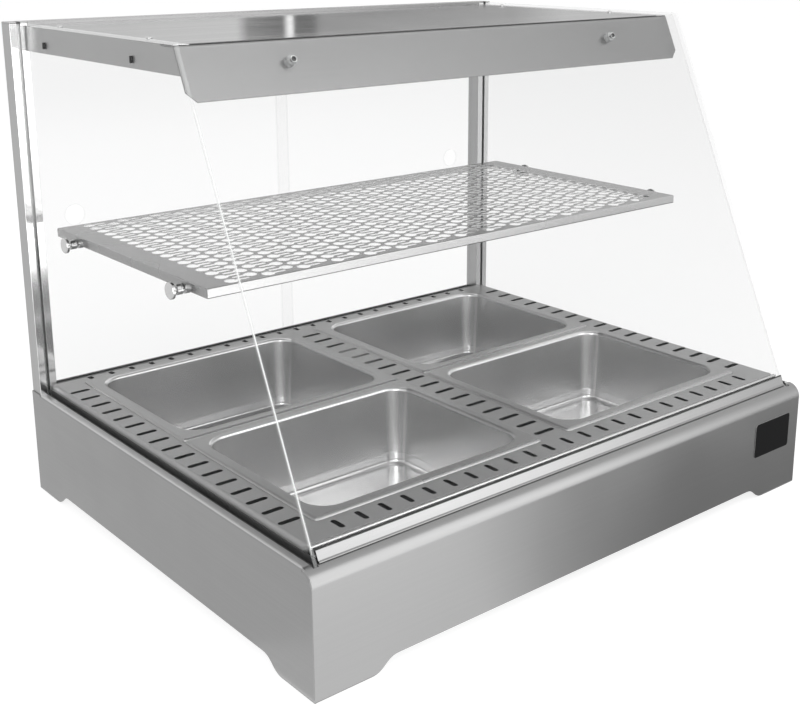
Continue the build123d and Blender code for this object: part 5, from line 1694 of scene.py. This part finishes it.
@dataclass
class Shelf:
    """The perforated shelf on its folded frame, and the four studs that carry it.

    A stud's stretches are pairs of a radius and a distance from where the stretch begins.
    """

    shop: Workshop
    sheet: float = 0.0012
    bend: float = 0.0012
    corner: float = 0.0015
    ledge: float = 0.005
    notch: float = 0.0043
    notch_points: int = 13
    notch_clear: float = 0.0004
    hem: float = 0.0009
    plate_sheet: float = 0.0007
    plate_corner: float = 0.0006
    hole_edge: float = 0.00012
    hole_head: float = 0.0075
    hole_head_points: int = 15
    hole_stem: float = 0.0024
    hole_stem_points: int = 6
    hole_reach: float = 0.0201
    hole_shift: float = 0.0296
    hole_pitch: Pair = (0.0462, 0.0199)
    hole_counts: tuple[int, int] = (15, 18)
    hole_start: float = -0.3382
    disc: float = 0.004
    frame_gap: float = 0.0006
    stud_groove: float = 0.0024

    STUD_RADIUS = 0.0095
    DISC_FACE = ((0.0078, 0.0), (0.0088, 0.0002), (0.0094, 0.0009), (0.0095, 0.0016))
    DISC_BACK = ((0.0095, -0.0003), (0.0092, 0.0), (0.003, 0.0))
    COLLAR_START = ((0.003, 0.0), (0.0057, 0.0), (0.006, 0.0003))
    COLLAR_END = ((0.006, -0.0004), (0.0056, 0.0), (0.004, 0.0))
    STUD_KNOB = ((0.004, 0.0), (0.0056, 0.0), (0.006, 0.0004), (0.006, 0.0060), (0.0057, 0.0066),
                 (0.0050, 0.0070))

    @classmethod
    def stud_rows(cls) -> Pair:
        """Y of the front and the rear studs."""
        return low("shelf_studs")[1] + cls.STUD_RADIUS, high("shelf_studs")[1] - cls.STUD_RADIUS

    def edge_line(self) -> tuple[Array, Array]:
        """Outline of the shelf with points over each stud, where a half circle is cut out of its frame.

        Returns:
            The outline (n, 2), and how far the foot is raised at each point (n).
        """
        middle, half = extent("shelf_plate")
        turn = np.linspace(0, math.pi, self.notch_points)
        notch_y = np.concatenate([y - self.notch * np.cos(turn) for y in self.stud_rows()])
        raised = np.tile(self.notch * np.sin(turn), 2)
        arcs = box_outline(*half[:2], self.corner, steps=4, centre=middle[:2]).reshape(4, -1, 2)
        right = np.c_[np.full(len(notch_y), high("shelf_plate")[0]), notch_y]
        left = np.c_[np.full(len(notch_y), low("shelf_plate")[0]), notch_y[::-1]]
        plain = np.zeros(2 * len(arcs[0]))
        outline = np.vstack([arcs[0], arcs[1], right, arcs[2], arcs[3], left])
        return outline, np.concatenate([plain, raised, plain, raised[::-1]])

    def folded_frame(self) -> None:
        """Folded frame: a skirt with painted shade along its hem, a rounded top bend and a ledge, notched
        over the studs.
        """
        outline, raised = self.edge_line()
        foot, top, under = low("shelf_frame")[2], high("shelf_plate")[2], low("shelf_plate")[2]
        inner, back = inset(outline, self.sheet), inset(outline, self.ledge)
        skirt = np.minimum(foot + raised, under - self.sheet - self.notch_clear)[:, None]
        up, inwards = quarter(self.bend, steps=4)
        rings = [LEVEL.lift(inner, under - self.sheet), LEVEL.lift(inner, skirt), LEVEL.lift(outline, skirt),
                 LEVEL.lift(outline, skirt + self.hem)]
        rings += [LEVEL.lift(inset(outline, d), top - h) for d, h in zip(inwards, up)]
        rings += [LEVEL.lift(inset(outline, self.bend), under), LEVEL.lift(back, under),
                  LEVEL.lift(back, under - self.sheet)]
        # front and rear runs get the lighter steel, a painted highlight; along them the hem row gets the
        # darkest, painted shade
        run = np.abs(np.roll(outline, -1, 0) - outline)
        marks = np.repeat((run[:, 0] > run[:, 1]).astype(int)[None], len(rings), 0)
        hem_row = 2
        marks[hem_row] *= 2
        skin = Skin()
        skin.rings(np.stack(rings), loop=True, mark=marks)
        self.shop.place(skin, "shelf_fold", ["shelf_steel", "shelf_edge_steel", "roof_edge_steel"],
                        "shelf_frame")

    def keyhole(self) -> Array:
        """Loop of one keyhole: the arc of its round head, then the half circle that ends its stem.

        Returns:
            The loop (n, 2) about the head's middle, with the stem along X.
        """
        open_half = math.asin(self.hole_stem / self.hole_head)
        head = np.linspace(open_half, 2 * math.pi - open_half, self.hole_head_points)
        tail = np.linspace(-math.pi / 2, math.pi / 2, self.hole_stem_points)
        return np.vstack([self.hole_head * spokes(head),
                          (self.hole_reach, 0.0) + self.hole_stem * spokes(tail)])

    def perforated(self) -> None:
        """Shelf sheet: rows of keyholes with turned-round rows between them, punched through a sheet."""
        middle, half = extent("shelf_plate")
        (columns, rows), (pitch_x, pitch_y) = self.hole_counts, self.hole_pitch
        across = self.hole_start + np.arange(columns) * pitch_x
        deep = middle[1] + (np.arange(rows) - (rows - 1) / 2) * pitch_y
        between = deep[:-1] + pitch_y / 2
        hole = self.keyhole()
        holes = [hole + (x, y) for x in across for y in deep]
        holes += [(x + self.hole_shift, y) - hole for x in across for y in between]
        outline = box_outline(*half[:2] - self.bend, self.plate_corner, steps=2, centre=middle[:2])
        plane = Plane.level(high("shelf_plate")[2] - self.plate_sheet)
        skin = Skin()
        skin.punched(plane, outline, holes, self.plate_sheet, self.hole_edge, edge_marks=(1, 1))
        self.shop.place(skin, "shelf_sheet", ["shelf_steel", "shelf_hole_steel"], "shelf_plate")

    def studs(self) -> None:
        """Four turned studs: a disc outside the glass, a neck, a collar, the shelf's groove and a knob."""
        outside, _, top = high("shelf_studs")
        collar = self.disc + GLASS
        groove = collar + high("side_glass_right")[0] - GLASS - high("shelf_frame")[0] - self.frame_gap
        stretches = ((0.0, self.DISC_FACE), (self.disc, self.DISC_BACK), (collar, self.COLLAR_START),
                     (groove, self.COLLAR_END), (groove + self.stud_groove, self.STUD_KNOB))
        profile = [(radius, start + far) for start, pairs in stretches for radius, far in pairs]
        skin = Skin()
        for _, hand in SIDES:
            for y in self.stud_rows():
                base = np.array([hand * outside, y, top - self.STUD_RADIUS])
                skin.turned(base, -hand * X_AXIS, profile, steps=36)
        self.shop.place(skin, "studs", ["turned_steel"], "shelf_studs")

    def build(self) -> None:
        """Make the shelf's frame, its sheet and the studs."""
        self.folded_frame()
        self.perforated()
        self.studs()


@dataclass
class Controls:
    """Knob, rockers, lamp and gland on the rear panel.

    The knob's skirt and top are pairs of a radius and a height; its grip adds the share of the ridges.
    """

    shop: Workshop
    knob_ridges: int = 18
    ridge_steps: int = 8
    ridge_depth: float = 0.0010
    pointer_base: float = 0.0140
    pointer_half: Pair = (0.0015, 0.0066)
    pointer_round: float = 0.0008
    pointer_middle: Pair = (0.0, 0.0070)
    pointer_height: float = 0.0024
    pointer_edge: float = 0.0005
    line_base: float = 0.0163
    line_half: Pair = (0.0005, 0.0048)
    line_round: float = 0.0004
    line_middle: Pair = (0.0, 0.0075)
    line_height: float = 0.0002
    line_edge: float = 0.00005
    tick_count: int = 10
    tick_step: float = math.radians(30)
    tick_start: float = 0.0235
    tick_length: float = 0.004
    tick_width: float = 0.0009
    tick_round: float = 0.45
    print_depth: float = 0.00008
    print_edge: float = 0.00002

    SKIRT = ((0.0185, 0.0), (0.0196, 0.0005), (0.0200, 0.0012), (0.0198, 0.0024), (0.0190, 0.0031),
             (0.0152, 0.0036))
    GRIP = ((0.0145, 0.0044, 1.0), (0.0139, 0.0132, 1.0), (0.0130, 0.0146, 0.5))
    TOP = ((0.0118, 0.0150), (0.0108, 0.0149), (0.0103, 0.0146))

    def knob(self) -> None:
        """Thermostat knob: a skirt, a ridged grip and a pointer with a white line.

        The grip's radius dips by the square of half of 1 less the cosine of the angle times the ridges.
        """
        (x, _, z), _ = extent("thermostat_knob")
        back = low("thermostat_knob")[1]
        steps = self.knob_ridges * self.ridge_steps
        wave = 0.5 - 0.5 * np.cos(self.knob_ridges * full_turn(steps))
        dip = (self.ridge_depth * wave ** 2)[:, None]
        grip = [(radius - dip * share, far) for radius, far, share in self.GRIP]
        skin = Skin()
        skin.turned(np.array([x, back, z]), Y_AXIS, [*self.SKIRT, *grip, *self.TOP], steps)
        face = Plane.facing_rear(x, back + self.pointer_base, z)
        pointer = box_outline(*self.pointer_half, self.pointer_round, steps=4, centre=self.pointer_middle)
        skin.plate(face, pointer, self.pointer_height, self.pointer_edge)
        face = Plane.facing_rear(x, back + self.line_base, z)
        line = box_outline(*self.line_half, self.line_round, steps=3, centre=self.line_middle)
        skin.plate(face, line, self.line_height, self.line_edge, steps=1, mark=1)
        self.shop.place(skin, "knob", ["black_plastic", "print_white"], "thermostat_knob")

    def scale(self) -> None:
        """Plain ticks round the knob, printed on the panel."""
        (x, _, z), _ = extent("thermostat_knob")
        face = Plane.facing_rear(x, high("base_rear_panel")[1], z)
        wide, long = self.tick_width, self.tick_length
        mark = box_outline(wide / 2, long / 2, wide * self.tick_round, steps=3)
        skin = Skin()
        for turn in np.arange(self.tick_count) * self.tick_step:
            way = np.array([math.sin(turn), math.cos(turn)])
            side = np.array([way[1], -way[0]])
            flat = way * (self.tick_start + long / 2) + mark[:, :1] * side + mark[:, 1:] * way
            skin.plate(face, flat, self.print_depth, self.print_edge, steps=1)
        piece = skin.piece("knob_scale", [self.shop.finishes["badge_black"]])
        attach(piece, "case")
        log.info("knob_scale: %d faces on the case", len(piece.data.polygons))

    def build(self) -> None:
        """Make the controls and dress the rest of the rear panel's pieces."""
        self.knob()
        self.scale()
        self.shop.dress("black_plastic", "thermostat_body", "power_switch_frame", "light_switch_frame",
                        "light_switch_rocker", "cable_gland")
        self.shop.dress("red_lens", "pilot_lamp")
        self.shop.dress("switch_green", "power_switch_rocker")
        self.shop.dress("zinc", "thermostat_shaft")


@dataclass
class Heating:
    """Elements, tray and lamp, which keep their CAD shapes."""

    shop: Workshop

    def build(self) -> None:
        """Dress them."""
        self.shop.dress("element_steel", "heating_element_left", "heating_element_right")
        self.shop.dress("ceramic_white", "element_insulators", "terminal_block", "lamp_holders")
        self.shop.dress("tray_steel", "heater_tray", "element_bars", "tray_standoffs")
        self.shop.dress("lamp_glass", "lamp_tube")


def four_corners(name: str, corners: list, material: Material) -> bpy.types.Object:
    """Flat sheet of the studio.

    Args:
        name: its name.
        corners: its four corners in order.
        material: its finish.

    Returns:
        The new object.
    """
    mesh = bpy.data.meshes.new(name)
    mesh.from_pydata([tuple(corner) for corner in corners], [], [(0, 1, 2, 3)])
    mesh.materials.append(material)
    return put(name, mesh)


@dataclass(frozen=True)
class SoftLamp:
    """Square soft lamp with a place, what it is turned to, its size and its power."""

    name: str
    place: Triple
    aim: Triple
    size: float
    power: float

    def build(self) -> None:
        """Hang the lamp; reflections don't see it, because the cards stand for it there."""
        data = bpy.data.lights.new(self.name, "AREA")
        data.shape = "SQUARE"
        data.size = self.size
        data.energy = self.power
        lamp = put(self.name, data)
        lamp.location = self.place
        lamp.rotation_euler = (Vector(self.aim) - Vector(self.place)).to_track_quat("-Z", "Y").to_euler()
        lamp.visible_glossy = False


@dataclass(frozen=True)
class Card:
    """Flat card that only reflections see: its middle, half its length, half its width, and its stops.

    A stop is a share of the length and the brightness there, which changes evenly to the next.
    """

    name: str
    middle: Triple
    along: Triple
    aside: Triple
    stops: Pairs

    def finish(self) -> Material:
        """Light that changes along the card, with the place found by a dot product with its length.

        Returns:
            The new material.
        """
        middle, along = np.array(self.middle), np.array(self.along)
        sheet = NodeSheet(self.name)
        start, way = tuple(middle - along), tuple(along / (2 * along @ along))
        place = sheet.add("ShaderNodeVectorMath", {0: sheet.place(), 1: start}, operation="SUBTRACT")
        part = sheet.add("ShaderNodeVectorMath", {0: place.outputs[0], 1: way}, operation="DOT_PRODUCT")
        ramp = sheet.add("ShaderNodeValToRGB", {"Fac": part.outputs["Value"]})
        points = ramp.color_ramp.elements
        for position, _ in self.stops[1:-1]:
            points.new(position)
        peak = max(glow for _, glow in self.stops)
        for point, (position, glow) in zip(points, self.stops):
            point.position = position
            point.color = grey(glow / peak)
        light = sheet.add("ShaderNodeEmission", {"Color": ramp.outputs["Color"], "Strength": peak})
        return sheet.close(light)

    def build(self) -> None:
        """Stand the card up."""
        middle, along, aside = np.array(self.middle), np.array(self.along), np.array(self.aside)
        start, end = middle - along, middle + along
        corners = [start - aside, end - aside, end + aside, start + aside]
        card = four_corners(self.name, corners, self.finish())
        card.visible_camera = card.visible_diffuse = card.visible_shadow = False
        card.visible_transmission = card.visible_volume_scatter = False


@dataclass
class Studio:
    """White background, pale floor that keeps the shadow, soft lamps, cards and the camera."""

    eye: Triple = (-0.99308, -1.19300, 0.71884)
    forward: Triple = (0.6205, 0.7395, -0.2611)
    focal_pixels: float = 1240.01
    principal: Pair = (423.16, 272.20)
    image: tuple[int, int] = (800, 706)
    sensor: float = 36.0
    clip: Pair = (0.05, 100.0)
    floor_size: float = 30.0
    floor_glow: float = 0.81
    floor_tone: float = 0.35
    sky_light: float = 0.55

    LAMPS = (
        SoftLamp("key", (1.15, -1.35, 2.0), (0.0, 0.0, 0.25), 1.5, 14.0),
        SoftLamp("fill", (-1.8, -2.4, 2.3), (0.0, 0.0, 0.25), 2.2, 40.0),
        SoftLamp("back", (0.4, 2.8, 2.6), (0.0, 0.0, 0.3), 2.4, 18.0),
    )
    CARDS = (
        Card("floor_front", (0.35, -0.75, 0.002), (0.8, 0.6, 0.0), (0.54, -0.72, 0.0),
             ((0.0, 1.55), (0.36, 1.55), (0.42, 1.45), (0.468, 0.85), (0.505, 0.60), (0.55, 0.42),
              (1.0, 0.42))),
        Card("floor_far", (0.1, -1.25, 0.004), (0.9, 0.0, 0.0), (0.0, 0.62, 0.0),
             ((0.0, 2.7), (0.5, 2.7), (0.7, 2.1), (0.9, 1.3), (1.0, 1.2))),
        Card("floor_left", (-1.2, 0.6, 0.002), (0.8, 0.0, 0.0), (0.0, 1.2, 0.0), ((0.0, 1.0), (1.0, 1.0))),
        Card("wall_front", (1.0, -1.75, 0.95), (1.328, 0.88, 0.0), (0.0, 0.0, 0.94),
             ((0.0, 1.6), (0.5, 2.7), (0.625, 2.0), (0.734, 1.25), (0.875, 1.0), (1.0, 1.0))),
        Card("behind", (-2.02, -2.42, 1.40), (0.61, -0.51, 0.0), (0.0, 0.0, 1.35),
             ((0.0, 0.0), (0.2, 4.6), (0.8, 4.6), (1.0, 0.0))),
        Card("wall_high", (0.70, -1.95, 2.20), (0.42, 0.28, 0.0), (0.0, 0.0, 0.30), ((0.0, 2.4), (1.0, 2.0))),
        Card("wall_left", (-1.25, 2.35, 1.25), (0.9, 0.45, 0.0), (0.0, 0.0, 0.55), ((0.0, 1.4), (1.0, 1.4))),
        Card("wall_back", (3.733, 4.697, 0.60), (1.722, -1.369, 0.0), (0.0, 0.0, 0.62),
             ((0.0, 0.62), (0.12, 0.62), (0.285, 0.68), (0.30, 0.20), (0.35, 0.05), (0.353, 1.3), (0.36, 1.3),
              (0.363, 0.05), (0.386, 0.05), (0.40, 0.28), (0.66, 0.38), (0.73, 0.62), (1.0, 0.62))),
    )

    def camera(self) -> None:
        """Place the camera by its eye, its line of sight and the picture's principal point."""
        data = bpy.data.cameras.new("camera")
        data.sensor_fit = "HORIZONTAL"
        data.sensor_width = self.sensor
        width, height = self.image
        data.lens = self.focal_pixels / width * self.sensor
        data.shift_x = (width / 2 - self.principal[0]) / width
        data.shift_y = (self.principal[1] - height / 2) / width
        data.clip_start, data.clip_end = self.clip
        ahead = Vector(self.forward).normalized()
        right = ahead.cross(Vector(Z_AXIS)).normalized()
        turn = Matrix((right, right.cross(ahead), -ahead)).transposed().to_4x4()
        camera = put("camera", data)
        camera.matrix_world = Matrix.Translation(self.eye) @ turn
        bpy.context.scene.camera = camera

    def seen_rays(self, tree: bpy.types.NodeTree) -> Socket:
        """One for the rays that show the background: camera, glossy and transmission rays.

        Args:
            tree: node tree that takes the nodes in.

        Returns:
            The largest of the three rays' values.
        """
        path = add_node(tree, "ShaderNodeLightPath")
        total = path.outputs["Is Camera Ray"]
        for name in ("Is Glossy Ray", "Is Transmission Ray"):
            most = add_node(tree, "ShaderNodeMath", {0: total, 1: path.outputs[name]}, operation="MAXIMUM")
            total = most.outputs[0]
        return total

    def sky(self) -> None:
        """World that is white where it is seen and a plain soft light elsewhere."""
        world = bpy.data.worlds.new("studio")
        bpy.context.scene.world = world
        world.use_nodes = True
        tree = world.node_tree
        background = tree.nodes["Background"]
        background.inputs["Color"].default_value = WHITE
        limits = {"To Min": self.sky_light, "To Max": 1.0}
        ranged = add_node(tree, "ShaderNodeMapRange", {"Value": self.seen_rays(tree), **limits})
        tree.links.new(ranged.outputs["Result"], background.inputs["Strength"])

    def floor(self) -> None:
        """Pale floor: part glow, part matt surface, so that it is near white but takes the shadow."""
        sheet = NodeSheet("pale_floor")
        seen = {0: self.seen_rays(sheet.tree), 1: self.floor_glow}
        strength = sheet.add("ShaderNodeMath", seen, operation="MULTIPLY")
        glow = sheet.add("ShaderNodeEmission", {"Color": WHITE, "Strength": strength.outputs[0]})
        matt = sheet.add("ShaderNodeBsdfDiffuse", {"Color": grey(self.floor_tone)})
        both = sheet.add("ShaderNodeAddShader", {0: matt.outputs[0], 1: glow.outputs[0]})
        half = self.floor_size / 2
        corners = [(-half, -half, 0), (half, -half, 0), (half, half, 0), (-half, half, 0)]
        floor = four_corners("floor", corners, sheet.close(both))

    def build(self) -> None:
        """Set up the whole studio."""
        bpy.context.scene.view_settings.view_transform = "Standard"
        self.camera()
        self.sky()
        self.floor()
        for item in self.LAMPS + self.CARDS:
            item.build()


def main() -> None:
    """Build the case piece by piece, then the studio."""
    logging.basicConfig(level=logging.INFO, format="%(message)s")
    shop = Workshop()
    glazing = Glazing(shop)
    for assembly in (Base(shop), Deck(shop), Pans(shop), glazing, Roof(shop, glazing), Rear(shop),
                     Shelf(shop), Controls(shop), Heating(shop)):
        assembly.build()
    Studio().build()


if __name__ == "__main__":
    main()
